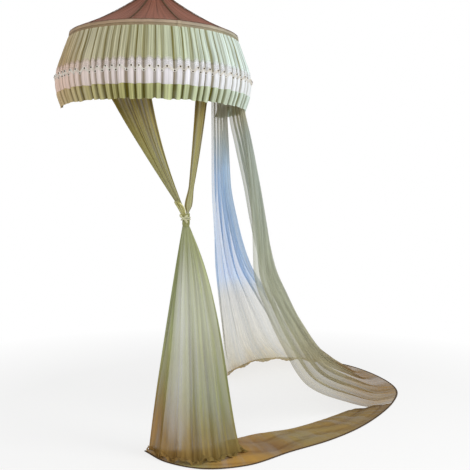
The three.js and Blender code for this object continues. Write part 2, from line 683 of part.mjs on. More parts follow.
function makeSweptCurtain(name, curtain, material) {
  const grid = foldedGrid({
    columns: CURTAIN_COLUMNS_PER_FOLD * curtain.folds,
    rows: FALL_ROWS,
    folds: curtain.folds,
    at: (u, v) => fallPoint(curtain, u, Math.round(v * FALL_ROWS)),
    depth: (u, v) => curtainFold(v),
  });
  addPiece(name, cloth(grid, NET_THICKNESS), material);
}

// The fan spreads from the neck's low end to its foot on the front train
const fan_fall_shares = [[0, 1], [0.2, 0.84], [0.4, 0.66], [0.6, 0.47], [0.78, 0.27], [0.93, 0.08], [1, 0]];
const FAN_FROM = 165;
const FAN_TO = 375;
const FAN_FOLD_DEPTH = 15;

function makeFan() {
  const foot = floorCurve(fan_foot_shares, 2 * layLift + FAN_FOLD_DEPTH / 2);
  const rows = fan_fall_shares.length - 1;
  const grid = foldedGrid({
    columns: 28,
    rows,
    folds: 7,
    at: (u, v) => {
      const degrees = THREE.MathUtils.lerp(FAN_FROM, FAN_TO, u);
      const top = neckRim(degrees, TIE_Z - NECK_HEIGHT_BELOW - netBelow, SWAG_RIM_SHARE);
      const low = foot.getPoint(u);
      const [run, height] = fan_fall_shares[Math.round(v * rows)];
      return top.clone().lerp(low, run).setZ(low.z + (top.z - low.z) * height);
    },
    depth: (u, v) => FAN_FOLD_DEPTH * Math.sin(Math.min(v * 1.6, 1) * (Math.PI / 2)),
  });
  addPiece("left_fan", cloth(grid, NET_THICKNESS), sageNet);
}

function makeFrontTrain() {
  const inner = floorCurve(train_inner_shares, layLift);
  const grid = foldedGrid({
    columns: 28,
    rows: 3,
    folds: 9,
    at: (u, v) => hemCurve.getPoint((u * TRAIN_END_POINT) / HEM_SPANS).lerp(inner.getPoint(u), v),
    depth: () => RIPPLE_HEIGHT,
  });
  addPiece("front_train", cloth(grid, NET_THICKNESS), ochreNet);
}

// The binding runs just outside the hem, from the left foot to the back curtain's free edge
function makeBinding() {
  const points = [];
  const steps = 60;
  const out = BINDING_RADIUS + BINDING_CLEARANCE + NET_THICKNESS + GAP_WIDTH;
  for (let i = 0; i <= steps; i++) {
    const tangent = hemCurve.getTangent(i / steps);
    const outward = new THREE.Vector3(tangent.y, -tangent.x, 0).normalize();
    points.push(hemCurve.getPoint(i / steps).addScaledVector(outward, out).setZ(FLOOR + BINDING_RADIUS));
  }
  addPiece("hem_binding", sweptAlong(roundShape(BINDING_RADIUS, 6), points, steps), oliveBinding);
}

makeCeilingPlate();
makeScrews();
makeHook();
makeRing();
makeLoop();
makeCap();
makeConePanels();
makeSeamTapes();
makeWasher();
makeHoop();
makeBand();
makeFrill("upper_valance", 0, [frillTopZ, upperMiddleZ, laceSeamZ], sageCotton);
makeFrill("lace_ruffle", 1, [laceTopZ, laceSeamZ, laceMiddleZ, ruffleSeamZ], whiteLace);
makeFrill("hem_ruffle", 2, [ruffleTopZ, ruffleSeamZ, hemZ], greenCotton);
makeFrill("eyelet_trim", 2, [trimTopZ, trimTopZ - TRIM_WIDTH], whiteLace);
makeNeck();
makeSwag("left_swag", leftSwag, 20, 7);
makeSwag("front_fold", frontFold, 4, 6);
makeTieBand();
makeKnot();
makeBunchedEdge();
makeFan();
makeFrontTrain();
makeSweptCurtain("right_curtain", rightCurtain, sageNet);
makeSweptCurtain("back_curtain", backCurtain, skyNet);
makeBinding();

export default canopy;
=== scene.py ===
# %% [markdown]
# # A bed crown canopy
# The canopy hangs from one hook in the ceiling. A sheer cone falls to a wire hoop, frills hide the hoop, one
# curtain is tied on the left and two long ones sweep over the floor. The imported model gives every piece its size
# and place, so it is loaded first and everything else is built round it, in metres.

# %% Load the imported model
import math

import bmesh
import bpy
import numpy as np
from mathutils import Matrix, Vector


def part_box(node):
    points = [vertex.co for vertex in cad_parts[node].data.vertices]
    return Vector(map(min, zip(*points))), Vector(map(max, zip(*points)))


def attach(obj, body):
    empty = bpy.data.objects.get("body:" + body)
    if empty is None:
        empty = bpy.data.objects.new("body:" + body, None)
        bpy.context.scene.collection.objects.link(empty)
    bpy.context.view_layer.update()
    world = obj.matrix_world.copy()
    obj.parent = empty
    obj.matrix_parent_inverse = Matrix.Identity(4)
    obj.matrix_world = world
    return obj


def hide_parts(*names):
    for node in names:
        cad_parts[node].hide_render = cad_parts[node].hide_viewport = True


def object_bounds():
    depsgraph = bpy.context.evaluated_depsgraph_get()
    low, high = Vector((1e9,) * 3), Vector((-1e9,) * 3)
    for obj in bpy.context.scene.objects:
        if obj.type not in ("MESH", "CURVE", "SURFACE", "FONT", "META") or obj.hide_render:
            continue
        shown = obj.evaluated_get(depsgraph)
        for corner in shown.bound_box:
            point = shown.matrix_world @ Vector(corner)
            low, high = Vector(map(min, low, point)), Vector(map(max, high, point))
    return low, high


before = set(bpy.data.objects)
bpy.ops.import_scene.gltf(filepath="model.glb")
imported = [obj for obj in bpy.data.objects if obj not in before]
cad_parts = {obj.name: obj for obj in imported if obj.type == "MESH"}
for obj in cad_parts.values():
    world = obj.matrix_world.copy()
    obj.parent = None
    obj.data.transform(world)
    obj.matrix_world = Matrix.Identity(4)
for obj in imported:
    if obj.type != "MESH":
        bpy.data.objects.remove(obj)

cad_box = [[float(v) for v in corner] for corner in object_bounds()]
FLOOR = cad_box[0][2]


def in_scene(name, data):
    """An object in the scene that shows a mesh, a lamp or a camera."""
    thing = bpy.data.objects.new(name, data)
    bpy.context.scene.collection.objects.link(thing)
    return thing


# %% [markdown]
# ## The camera
# The photograph was taken standing, from in front and a little to the left of the middle, so the eye is 1.35 m
# above the floor and 4.05 m from the crown's axis. A camera looks along its own -Z axis: its matrix is made from
# the three directions it should have, which leaves no doubt about its tilt.

# %% Camera
EYE_HEIGHT, EYE_DISTANCE = 1.35, 4.05
FOCAL_PIXELS, PICTURE_PIXELS = 757.0, 470.0
yaw, pitch, roll = (math.radians(a) for a in (6.12, -2.72, 0.5))

ahead = Vector((math.sin(yaw) * math.cos(pitch), math.cos(yaw) * math.cos(pitch), math.sin(pitch)))
level_right = Vector((math.cos(yaw), -math.sin(yaw), 0))
level_up = level_right.cross(ahead)
right = math.cos(roll) * level_right + math.sin(roll) * level_up
up = math.cos(roll) * level_up - math.sin(roll) * level_right

camera_data = bpy.data.cameras.new("photo_camera")
camera_data.sensor_width = 36
camera_data.lens = FOCAL_PIXELS / PICTURE_PIXELS * camera_data.sensor_width
camera = in_scene("photo_camera", camera_data)
turned = Matrix((right, up, -ahead)).transposed()
camera.matrix_world = Matrix.Translation((0, -EYE_DISTANCE, FLOOR + EYE_HEIGHT)) @ turned.to_4x4()
bpy.context.scene.camera = camera
print("lens", round(camera_data.lens, 1), "mm")

# %% [markdown]
# ## Nodes
# The sky, the materials and the trees that sew stitches are all made of nodes. One function adds a node, sets its
# options and fills the inputs that are named, with a number or a colour, or with a link from another node.

# %% Node helpers
def add(tree, kind, inputs=(), **options):
    node = tree.nodes.new(kind if "Node" in kind else "ShaderNode" + kind)
    for key, value in options.items():
        setattr(node, key, value)
    for key, value in dict(inputs).items():
        value = value.outputs[0] if isinstance(value, bpy.types.Node) else value
        if isinstance(value, bpy.types.NodeSocket):
            tree.links.new(value, node.inputs[key])
        else:
            node.inputs[key].default_value = value
    return node


def maths(tree, operation, first, second):
    return add(tree, "Math", {0: first, 1: second}, operation=operation).outputs[0]


def between(tree, value, low, high, to_low, to_high):
    """The value, carried over from one range to another and kept inside it."""
    return add(tree, "MapRange", dict(enumerate((value, low, high, to_low, to_high)))).outputs[0]


def mixed(tree, amount, first, second, mode="MIX"):
    return add(tree, "Mix", {0: amount, 6: first, 7: second}, data_type="RGBA", blend_type=mode).outputs[2]


def tinted(tree, colour, tint):
    return mixed(tree, 1.0, colour, tint, "MULTIPLY")


def distance(tree, place, middle):
    return add(tree, "VectorMath", {0: place, 1: middle}, operation="DISTANCE").outputs["Value"]


def coordinate(tree, place, axis):
    return add(tree, "SeparateXYZ", {0: place}).outputs[axis]


def start_material(name):
    """An empty material, its tree, and the place on the object that patterns are laid by."""
    material = bpy.data.materials.new(name)
    material.use_nodes = True
    material.node_tree.nodes.clear()
    return material, material.node_tree, add(material.node_tree, "TexCoord").outputs["Object"]


# %% [markdown]
# ## Light, floor and background
# An even white sky lights everything, so that a colour comes out about as it is written, and two broad soft lamps
# in front, to the left and the right, give the folds their shadows. The floor takes the shadows, but looks almost
# white to the camera: a Light Path node mixes plain white into it for camera rays.

# %% Light and floor
def white_for_camera(tree, lit, white, amount):
    """The lit shader, with white mixed in for what the camera sees directly, in glossy surfaces and through cloth."""
    path = add(tree, "LightPath")
    seen = path.outputs["Is Camera Ray"]
    for other in ("Is Glossy Ray", "Is Transmission Ray"):
        seen = maths(tree, "MAXIMUM", seen, path.outputs[other])
    return add(tree, "MixShader", {0: maths(tree, "MULTIPLY", seen, amount), 1: lit, 2: white})


def build_world(strength):
    world = bpy.data.worlds.new("plain_sky")
    world.use_nodes = True
    tree = world.node_tree
    tree.nodes.clear()
    sky, white = add(tree, "Background", {"Strength": strength}), add(tree, "Background", {"Color": (1, 1, 1, 1)})
    add(tree, "OutputWorld", {0: white_for_camera(tree, sky, white, 1)})
    bpy.context.scene.world = world


def build_floor(half, middle, whiteness, near, far):
    """The floor shows its shadows near the object, and turns to plain white from the near distance to the far."""
    mesh = bpy.data.meshes.new("floor")
    z = middle[2]
    mesh.from_pydata([(-half, -half, z), (half, -half, z), (half, half, z), (-half, half, z)], [], [(0, 1, 2, 3)])
    paint, tree, place = start_material("floor_paint")
    matt = add(tree, "BsdfDiffuse", {"Color": (0.86, 0.86, 0.85, 1)})
    fade = between(tree, distance(tree, place, middle), near, far, whiteness, 1)
    add(tree, "OutputMaterial", {0: white_for_camera(tree, matt, add(tree, "Emission"), fade)})
    mesh.materials.append(paint)
    in_scene("floor", mesh)


def build_lamp(name, place, aim, size, watts):
    data = bpy.data.lights.new(name, "AREA")
    data.size, data.energy = size, watts
    lamp = in_scene(name, data)
    lamp.location = place
    lamp.rotation_euler = (Vector(aim) - Vector(place)).to_track_quat("-Z", "Y").to_euler()


build_world(strength=0.66)
build_floor(half=14, middle=(0.6, 0.7, FLOOR - 0.001), whiteness=0.72, near=1.6, far=3.2)
build_lamp("key_lamp", (-1.6, -4.2, 1.3), (0.1, 0.1, -1.1), size=2.0, watts=95)
build_lamp("side_lamp", (4.0, -2.6, 0.7), (0.4, 0.3, -1.2), size=2.2, watts=125)
bpy.context.scene.view_settings.view_transform = "Standard"
bpy.context.scene.cycles.transparent_max_bounces = 32

# %% [markdown]
# ## Cloth finishes
# Net and voile share one recipe. The colour runs along one axis through the stops of a ramp, patches lay soft spots
# of another colour on it, valleys between folds get a painted shade that makes them darker than ridges, long fine
# streaks follow the threads, and crossing waves of 1 to 3 mm give the weave as bump and as holes. Part of the light
# goes through, which a Translucent shader does, and a Transparent shader lets what lies behind shine through thin
# places.
#
# Two numbers are stored on each point of a sheet: fold, which is 0 in a valley and 1 on a ridge, and dense, which is
# 1 where the cloth is gathered and 0 where it is spread. Crease gives the two values of fold between which the
# valley's painted shade fades away, cover gives the opacity for dense 0 and 1, and a pattern may change the weave.

# %% Cloth material
def srgb(colour):
    """A colour as a paint program writes it, turned into the linear light that shaders need."""
    return (*(c / 255 / 12.92 if c < 11 else ((c / 255 + 0.055) / 1.055) ** 2.4 for c in colour), 1)


def ramp(tree, value, stops):
    """stops are (place, colour) pairs, the places from 0 to 1."""
    node = add(tree, "ValToRGB", {0: value})
    elements = node.color_ramp.elements
    while len(elements) < len(stops):
        elements.new(0.5)
    for element, (place, colour) in zip(elements, stops):
        element.position = place
        element.color = srgb(colour)
    return node.outputs[0]


def noise(tree, where, scale, detail=2.0, stretch=(1, 1, 1)):
    mapping = add(tree, "Mapping", {0: where, "Scale": stretch})
    return add(tree, "TexNoise", {"Vector": mapping, "Scale": scale, "Detail": detail}).outputs["Fac"]


def threads(tree, where, pitch):
    """Two sets of crossing threads, 1 on a thread and 0 in a hole, pitch metres apart."""
    waves = (add(tree, "TexWave", {"Vector": where, "Scale": 0.314 / pitch, "Distortion": 0.4}, bands_direction=way)
             for way in "XY")
    return maths(tree, "MAXIMUM", *(wave.outputs["Fac"] for wave in waves))


def grey(tree, value):
    return add(tree, "CombineColor", {0: value, 1: value, 2: value}).outputs[0]


def with_patches(tree, place, colour, patches):
    """Soft patches of other colours, each round its own place and as wide as its radius."""
    for patch, middle, radius in patches:
        waver = maths(tree, "MULTIPLY", noise(tree, place, 5.0), radius * 0.8)
        away = maths(tree, "ADD", distance(tree, place, middle), waver)
        colour = mixed(tree, between(tree, away, 0.5 * radius, 1.5 * radius, 1, 0), colour, srgb(patch))
    return colour


def folded_colour(tree, place, stops, axis, span, valley, crease, patches):
    """The ramp along one axis with its patches, and a painted shade in the valleys, tinted by the valley colour."""
    drift = between(tree, noise(tree, place, 3.0), 0.3, 0.7, -0.03, 0.03)
    along = maths(tree, "ADD", between(tree, coordinate(tree, place, axis), *span, 0, 1), drift)
    ridge = with_patches(tree, place, ramp(tree, along, stops), patches)
    fold = add(tree, "Attribute", attribute_name="fold").outputs["Fac"]
    # painted shade: where fold is low, the ridge colour is multiplied by the valley colour
    return mixed(tree, between(tree, fold, *crease, 0, 1), tinted(tree, ridge, srgb(valley)), ridge)


# valley is the colour of the painted shade in the folds, and crease says where along fold it fades
def cloth_material(name, stops, axis="Z", span=(-2.6, -0.5), valley=(170, 165, 150), cover=(0.98, 1), through=0.3,
                   pitch=0.0025, streak=0.12, holes=0.25, relief=0.3, crease=(0, 1), lines_per_metre=70,
                   pattern=None, patches=()):
    material, tree, place = start_material(name)
    uv = add(tree, "UVMap", uv_map="cloth").outputs[0]
    lines = between(tree, noise(tree, uv, 1.0, 3.0, (lines_per_metre, 2.5, 1)), 0.3, 0.7, 1 - streak, 1 + streak)
    colour = folded_colour(tree, place, stops, axis, span, valley, crease, patches)
    colour = tinted(tree, colour, grey(tree, lines))
    weave = threads(tree, uv, pitch)
    if pattern:
        weave = pattern(tree, uv, weave)
    bump = add(tree, "Bump", {"Strength": relief, "Distance": 0.0006, "Height": weave})
    cloth = add(tree, "BsdfPrincipled", {"Base Color": colour, "Roughness": 0.82, "Sheen Weight": 0.06,
                                         "Specular IOR Level": 0.15, "Normal": bump})
    glow = add(tree, "BsdfTranslucent", {"Color": colour, "Normal": bump})
    body = add(tree, "MixShader", {0: through, 1: cloth, 2: glow})
    solid = between(tree, add(tree, "Attribute", attribute_name="dense").outputs["Fac"], 0, 1, *cover)
    woven = maths(tree, "MULTIPLY", solid, between(tree, weave, 0, 1, 1 - holes, 1 + holes / 3))
    streaky = maths(tree, "MULTIPLY", woven, between(tree, lines, 1 - streak, 1 + streak, 0.88, 1.1))
    alpha = add(tree, "Clamp", {0: streaky})
    seen = add(tree, "MixShader", {0: alpha, 1: add(tree, "BsdfTransparent"), 2: body})
    add(tree, "OutputMaterial", {0: seen})
    return material


# %% The canopy's cloths
def lace_pattern(tree, uv, weave):
    """Open net with round motifs along the top 45 mm of the lace, and close cloth under them."""
    motif = add(tree, "TexVoronoi", {"Vector": uv, "Scale": 105, "Randomness": 0.35}).outputs["Distance"]
    petals = maths(tree, "MULTIPLY", between(tree, motif, 0.3, 0.42, 1, 0), between(tree, motif, 0.08, 0.16, 0, 1))
    motifs = maths(tree, "MAXIMUM", petals, between(tree, weave, 0.5, 0.75, 0, 1))
    close = between(tree, coordinate(tree, uv, "Y"), 0.04, 0.05, 0, 1)
    return maths(tree, "MAXIMUM", maths(tree, "MULTIPLY", close, between(tree, weave, 0, 1, 0.75, 1)), motifs)


# Across the crown the ramps run along X. They hold the cloth's own colour and a painted room light, warmer on the left
# and brighter and bluer on the right.
crown_colour_and_side_light = dict(axis="X", span=(-0.52, 0.52))
# In every cloth here, valley is the colour of the painted shade in its folds.
rose_net = cloth_material("rose_net", [(0, (138, 86, 66)), (1, (128, 76, 58))], span=(-0.44, -0.15),
                          valley=(165, 160, 125), through=0.12, streak=0.14, holes=0.02)
sage_voile = cloth_material(
    "sage_voile", [(0, (186, 158, 122)), (0.06, (198, 178, 140)), (0.2, (208, 202, 172)), (0.45, (190, 190, 156)),
                   (0.62, (204, 214, 188)), (0.8, (222, 236, 226)), (1, (228, 244, 240))], **crown_colour_and_side_light,
    valley=(160, 148, 98), pitch=0.0012, streak=0.28, holes=0.02, crease=(0.1, 0.8), lines_per_metre=150)
white_lace = cloth_material(
    "white_lace", [(0, (240, 212, 196)), (0.25, (242, 228, 222)), (0.5, (236, 232, 236)), (0.75, (248, 250, 255)),
                   (1, (248, 253, 255))], **crown_colour_and_side_light, valley=(134, 120, 78), cover=(0, 1), pitch=0.0028,
    streak=0.18, holes=0.6, relief=0.8, crease=(0.1, 0.74), lines_per_metre=130, pattern=lace_pattern)
green_voile = cloth_material(
    "green_voile", [(0, (226, 200, 158)), (0.1, (216, 198, 150)), (0.35, (198, 196, 134)), (0.6, (206, 216, 170)),
                    (1, (236, 252, 246))], **crown_colour_and_side_light, valley=(122, 112, 44), pitch=0.0012, streak=0.18,
    holes=0.02, crease=(0.25, 1), lines_per_metre=120)
swag_net = cloth_material(
    "swag_net", [(0, (176, 174, 130)), (0.35, (168, 162, 108)), (0.75, (148, 126, 44)), (1, (124, 102, 14))],
    span=(-1.33, -0.5), valley=(176, 158, 84), cover=(0.97, 1), through=0.35, holes=0.06, crease=(0.1, 0.6),
    streak=0.22, lines_per_metre=45)
leaf_net = cloth_material(
    "leaf_net", [(0, (206, 202, 138)), (0.5, (232, 230, 176)), (1, (206, 200, 140))], span=(-1.35, -1.25),
    valley=(168, 158, 104), cover=(0.95, 1), crease=(0, 0.55))
fan_net = cloth_material(
    "fan_net", [(0, (150, 130, 76)), (0.12, (152, 138, 84)), (0.3, (160, 154, 100)), (0.6, (172, 178, 132)),
                (1, (162, 168, 118))], span=(-2.6, -1.38), valley=(186, 178, 130), cover=(0.5, 1), through=0.4,
    crease=(-0.3, 0.6), streak=0.28, lines_per_metre=36,
    patches=[((170, 132, 74), (0.0, -0.08, -2.5), 0.34), ((146, 150, 96), (0.33, -0.2, -2.2), 0.3)])
right_net = cloth_material(
    "right_net", [(0, (158, 128, 74)), (0.03, (162, 136, 92)), (0.1, (172, 162, 128)), (0.3, (186, 186, 162)),
                  (0.55, (190, 196, 178)), (0.8, (186, 194, 186)), (0.88, (198, 192, 164)), (1, (188, 178, 142))],
    valley=(190, 186, 152), cover=(0.56, 0.92), through=0.45, crease=(-0.1, 0.6), streak=0.3, lines_per_metre=45,
    patches=[((150, 116, 66), (1.5, 1.4, -2.6), 0.5)])
# The pale blue from 0.42 to 0.72 of the height is painted window light shining through the net.
sky_net = cloth_material(
    "sky_net", [(0, (176, 150, 98)), (0.06, (200, 188, 152)), (0.2, (212, 208, 190)), (0.33, (214, 214, 208)),
                (0.42, (196, 222, 252)), (0.72, (214, 234, 252)), (0.8, (212, 220, 220)), (0.88, (212, 206, 184)),
                (1, (206, 196, 164))],
    valley=(222, 232, 246), cover=(0.46, 0.78), through=0.6, crease=(-0.1, 0.6), streak=0.2, lines_per_metre=45)
ochre_net = cloth_material(
    "ochre_net", [(0, (168, 130, 66)), (0.25, (170, 130, 70)), (0.5, (160, 128, 72)), (0.75, (142, 118, 70)),
                  (1, (126, 100, 62))], axis="X", span=(0, 1.6), valley=(200, 180, 132), cover=(0.1, 1),
    through=0.1, holes=0.05, crease=(0.05, 0.6), streak=0.15, lines_per_metre=12,
    patches=[((182, 140, 64), (0.42, -0.26, -2.6), 0.22), ((148, 130, 78), (0.85, 0.12, -2.6), 0.26),
             ((128, 96, 56), (0.66, -0.02, -2.6), 0.16), ((158, 146, 86), (0.2, -0.3, -2.6), 0.16)])

# %% [markdown]
# Tapes, bindings and thread are opaque. They share a second, simpler recipe: two near colours in blotches, with
# ribs of thread in the bump.

# %% Tape finishes
def finish_surface(tree, height, relief, depth, inputs):
    """A Principled shader with relief from the height, joined to the material's output."""
    bump = add(tree, "Bump", {"Strength": relief, "Distance": depth, "Height": height})
    add(tree, "OutputMaterial", {0: add(tree, "BsdfPrincipled", {**inputs, "Normal": bump})})


def plain_cloth(name, colour, other, pitch=0.0018):
    material, tree, place = start_material(name)
    blotch = between(tree, noise(tree, place, 25, 4), 0.35, 0.65, 0, 1)
    base = mixed(tree, blotch, srgb(colour), srgb(other))
    ribs = threads(tree, place, pitch)
    finish_surface(tree, ribs, 0.35, 0.0005, {
        "Base Color": mixed(tree, ribs, tinted(tree, base, (0.8, 0.8, 0.8, 1)), base),
        "Roughness": 0.85, "Sheen Weight": 0.03, "Specular IOR Level": 0.12})
    return material


seam_tape = plain_cloth("seam_tape", (86, 62, 36), (70, 50, 28))
khaki_tape = plain_cloth("khaki_tape", (150, 134, 102), (132, 116, 86))
pale_tape = plain_cloth("pale_tape", (206, 206, 172), (178, 176, 136))
# painted shadow: the dark of the holes inside the large eyelets
eyelet_shadow_paint = plain_cloth("eyelet_shadow_paint", (74, 62, 40), (58, 46, 30))
olive_roll = plain_cloth("olive_roll", (86, 66, 40), (68, 50, 30))
neck_cloth = plain_cloth("neck_cloth", (160, 164, 114), (134, 134, 82))
thread = plain_cloth("thread", (176, 162, 126), (150, 134, 100), 0.0006)
white_thread = plain_cloth("white_thread", (248, 245, 238), (232, 226, 214), 0.0006)

# %% [markdown]
# ## Sheets of cloth
# Every sheet is a grid of points, columns round the canopy and rows downwards, that a formula puts in place. The
# grid becomes a mesh with a UV map in metres of cloth, so the weave keeps its size, and with the two stored
# numbers. The metres are measured on the folded grid, because cloth doesn't stretch.

# %% Sheet helpers
def smooth_piece(name, points, faces, material):
    mesh = bpy.data.meshes.new(name)
    mesh.from_pydata(np.asarray(points).tolist(), [], faces)
    mesh.polygons.foreach_set("use_smooth", [True] * len(mesh.polygons))
    mesh.materials.append(material)
    return in_scene(name, mesh)


def assign(piece, slot, body, *nodes):
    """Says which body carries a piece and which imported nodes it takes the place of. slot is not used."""
    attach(piece, body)
    if nodes:
        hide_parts(*nodes)
    return piece


def store(mesh, key, values, width=()):
    """Stores a number on each point of a mesh, or a direction when the width is (3,)."""
    kind, field = ("FLOAT_VECTOR", "vector") if width else ("FLOAT", "value")
    full = np.broadcast_to(values, (len(mesh.vertices), *width)).astype(np.float32)
    mesh.attributes.new(key, kind, "POINT").data.foreach_set(field, full.ravel())


def face_loop(columns, rows):
    first = (np.arange(columns - 1)[:, None] * rows + np.arange(rows - 1)).ravel()
    return np.stack([first, first + 1, first + rows + 1, first + rows], 1)


def lengths_along(grid):
    """The lengths of the steps across a grid and of the steps down it."""
    return [np.linalg.norm(np.diff(grid, axis=way), axis=2) for way in (0, 1)]


def sheet_uv(grid):
    """Metres of cloth across and down: the longest row's length across, and the columns' mean length down."""
    across, down = lengths_along(grid)
    u = np.concatenate([[0], np.cumsum(across[:, across.sum(axis=0).argmax()])])
    v = np.concatenate([[0], np.cumsum(down.mean(axis=0))])
    return np.stack(np.meshgrid(u, v, indexing="ij"), 2)


def add_sheet(name, node, grid, fold, dense, material, slot):
    """A piece of cloth from a grid of points. fold and dense are kept from 0 to 1."""
    columns, rows = grid.shape[:2]
    faces = face_loop(columns, rows)
    piece = smooth_piece(name, grid.reshape(-1, 3), faces.tolist(), material)
    uv = piece.data.uv_layers.new(name="cloth")
    uv.data.foreach_set("uv", sheet_uv(grid).reshape(-1, 2)[faces.ravel()].ravel())
    for key, values in (("fold", fold), ("dense", dense)):
        store(piece.data, key, np.broadcast_to(np.clip(values, 0, 1), (columns, rows)).ravel())
    assign(piece, slot, "canopy", node)


# %% [markdown]
# Folds are waves added along the direction square to the sheet. A wave of even teeth looks like corrugated iron,
# so each one gets its own width and depth from slow wandering lines, which are drawn from fixed seeds.

# %% Fold helpers
def unit(vectors):
    return vectors / np.maximum(np.linalg.norm(vectors, axis=-1, keepdims=True), 1e-12)


def square_to(grid):
    """The outward direction at each point of a grid whose columns go anticlockwise and whose rows go down."""
    return unit(np.cross(np.gradient(grid, axis=1), np.gradient(grid, axis=0)))


def wander(x, knots, seed):
    """A smooth line through random heights from -1 to 1, over x from 0 to 1."""
    heights = np.random.default_rng(seed).uniform(-1, 1, knots + 4)
    at = np.clip(np.asarray(x, float), 0, 1) * knots
    k = np.minimum(at.astype(int), knots - 1)
    t = at - k
    p0, p1, p2, p3 = (heights[k + i] for i in range(4))
    return p1 + 0.5 * t * (p2 - p0 + t * (2 * p0 - 5 * p1 + 4 * p2 - p3 + t * (3 * (p1 - p2) + p3 - p0)))


def ease(x, low, high):
    t = np.clip((x - low) / (high - low), 0, 1)
    return t * t * (3 - 2 * t)


def swing(x):
    """A wave: 1 at every whole number and -1 halfway between."""
    return np.cos(2 * np.pi * x)


def hump(x):
    """0 at 0 and at 1, and 1 halfway between."""
    return np.sin(np.pi * x)


def uneven(u, v, count, seed, spread):
    """Counts folds across u from 0 to count, in uneven steps that drift a little on the way down."""
    drift = spread * wander(u, max(3, int(count * 0.7)), seed) + 0.3 * wander(v, 4, seed + 1) * wander(u, 5, seed + 2)
    return count * u + drift


def ridges(phase, sharp=1.0, top=0.15):
    """Waves up to 1. sharp over 1 makes steep sides, top over 0 makes the ridges wider than the valleys."""
    return np.tanh(sharp * (swing(phase) + top)) / np.tanh(sharp * (1 + top))


def through_points(table, x):
    """A smooth line through evenly spaced values, over x from 0 to 1, that doesn't overshoot."""
    y = np.asarray(table, float)
    steps = np.diff(y)
    slope = np.zeros(len(y))
    inner = steps[:-1] * steps[1:] > 0
    slope[1:-1][inner] = 2 * steps[:-1][inner] * steps[1:][inner] / (steps[:-1] + steps[1:])[inner]
    slope[0], slope[-1] = steps[0], steps[-1]
    at = np.clip(x, 0, 1) * len(steps)
    k = np.minimum(at.astype(int), len(steps) - 1)
    t = at - k
    return (y[k] * (1 + 2 * t) * (1 - t) ** 2 + slope[k] * t * (1 - t) ** 2
            + y[k + 1] * t * t * (3 - 2 * t) + slope[k + 1] * t * t * (t - 1))


def blend(pair, share):
    return pair[0] + (pair[1] - pair[0]) * share


def full_turn(steps):
    return np.arange(steps) / steps * 2 * np.pi


def on_circle(radius, degrees, z):
    angle = np.radians(degrees)
    return np.stack(np.broadcast_arrays(radius * np.cos(angle), radius * np.sin(angle), z), -1)


def plane_of(columns, rows, low=0.0):
    return np.meshgrid(np.linspace(0, 1, columns), np.linspace(low, 1, rows), indexing="ij")


# %% [markdown]
# ## Solid pieces
# Wires, tapes, caps and screws are closed solids. Three helpers make their shapes: a tube swept along a path that
# lies in one plane, a profile turned about the crown's axis, and a ribbon between two faces. Each gives points and
# faces, so several shapes can become one piece before anything is drawn.

# %% Solid helpers
def merged(*shapes):
    points, faces = [], []
    for shape_points, shape_faces in shapes:
        faces += [[i + len(points) for i in face] for face in shape_faces]
        points += list(shape_points)
    return np.array(points), faces


def ring_faces(rings, sides, closed=False):
    """Faces between one ring of points and the next, with both ends capped unless the rings close."""
    faces = []
    for i in range(rings if closed else rings - 1):
        a, b = i * sides, (i + 1) % rings * sides
        faces += [[a + j, a + (j + 1) % sides, b + (j + 1) % sides, b + j] for j in range(sides)]
    caps = [list(range(sides)), [rings * sides - 1 - j for j in range(sides)]]
    return faces if closed else faces + caps


def tube(path, radius, sides, plane, closed=False, flat=1.0):
    """plane is the direction square to the path's plane. flat squashes the tube along it."""
    plane = np.asarray(plane, float)
    ahead = np.roll(path, -1, 0) - np.roll(path, 1, 0) if closed else np.gradient(path, axis=0)
    side = unit(np.cross(unit(ahead), plane))
    turn = full_turn(sides)[None, :, None]
    ring = np.cos(turn) * side[:, None] + np.sin(turn) * flat * plane
    points = path[:, None] + np.broadcast_to(radius, len(path))[:, None, None] * ring
    return points.reshape(-1, 3), ring_faces(len(path), sides, closed)


def lathe(profile, steps, ripple=lambda angle, k: 0 * angle):
    """Turns [radius, height] points about Z. A closed profile repeats its first point at its end."""
    closed = np.allclose(profile[0], profile[-1])
    angle = full_turn(steps)
    points, rings, faces = [], [], []
    for k, (radius, z) in enumerate(profile[:-1] if closed else profile):
        if radius == 0:
            rings.append([len(points)] * steps)
            points.append((0, 0, z))
            continue
        rings.append(list(range(len(points), len(points) + steps)))
        around = radius + ripple(angle, k)
        points += list(zip(around * np.cos(angle), around * np.sin(angle), np.full(steps, z)))
    for low, high in list(zip(rings, rings[1:])) + ([(rings[-1], rings[0])] if closed else []):
        for i in range(steps):
            j = (i + 1) % steps
            faces.append(list(dict.fromkeys([low[i], low[j], high[j], high[i]])))
    return points, faces


def ribbon(top, bottom):
    """A closed solid between two grids of points, columns by rows."""
    columns, rows = top.shape[:2]
    upper, below = face_loop(columns, rows), columns * rows
    index = np.arange(below).reshape(columns, rows)
    rim = np.concatenate([index[:, 0], index[-1, 1:], index[-2::-1, -1], index[0, -2::-1]]).tolist()
    sides = [[b, a, a + below, b + below] for a, b in zip(rim, rim[1:])]
    points = np.concatenate([top.reshape(-1, 3), bottom.reshape(-1, 3)])
    return points, upper.tolist() + (upper[:, ::-1] + below).tolist() + sides


def add_solid(name, shape, material, slot, body, *nodes):
    piece = smooth_piece(name, *shape, material)
    work = bmesh.new()
    work.from_mesh(piece.data)
    bmesh.ops.recalc_face_normals(work, faces=work.faces)
    work.to_mesh(piece.data)
    work.free()
    return assign(piece, slot, body, *nodes)


# %% [markdown]
# ## The crown's cone
# Twelve sheer panels are sewn side by side and drawn up to a cap. Each panel sags between its seams, puckers beside
# them and carries two soft tucks, and a narrow tape covers each seam.

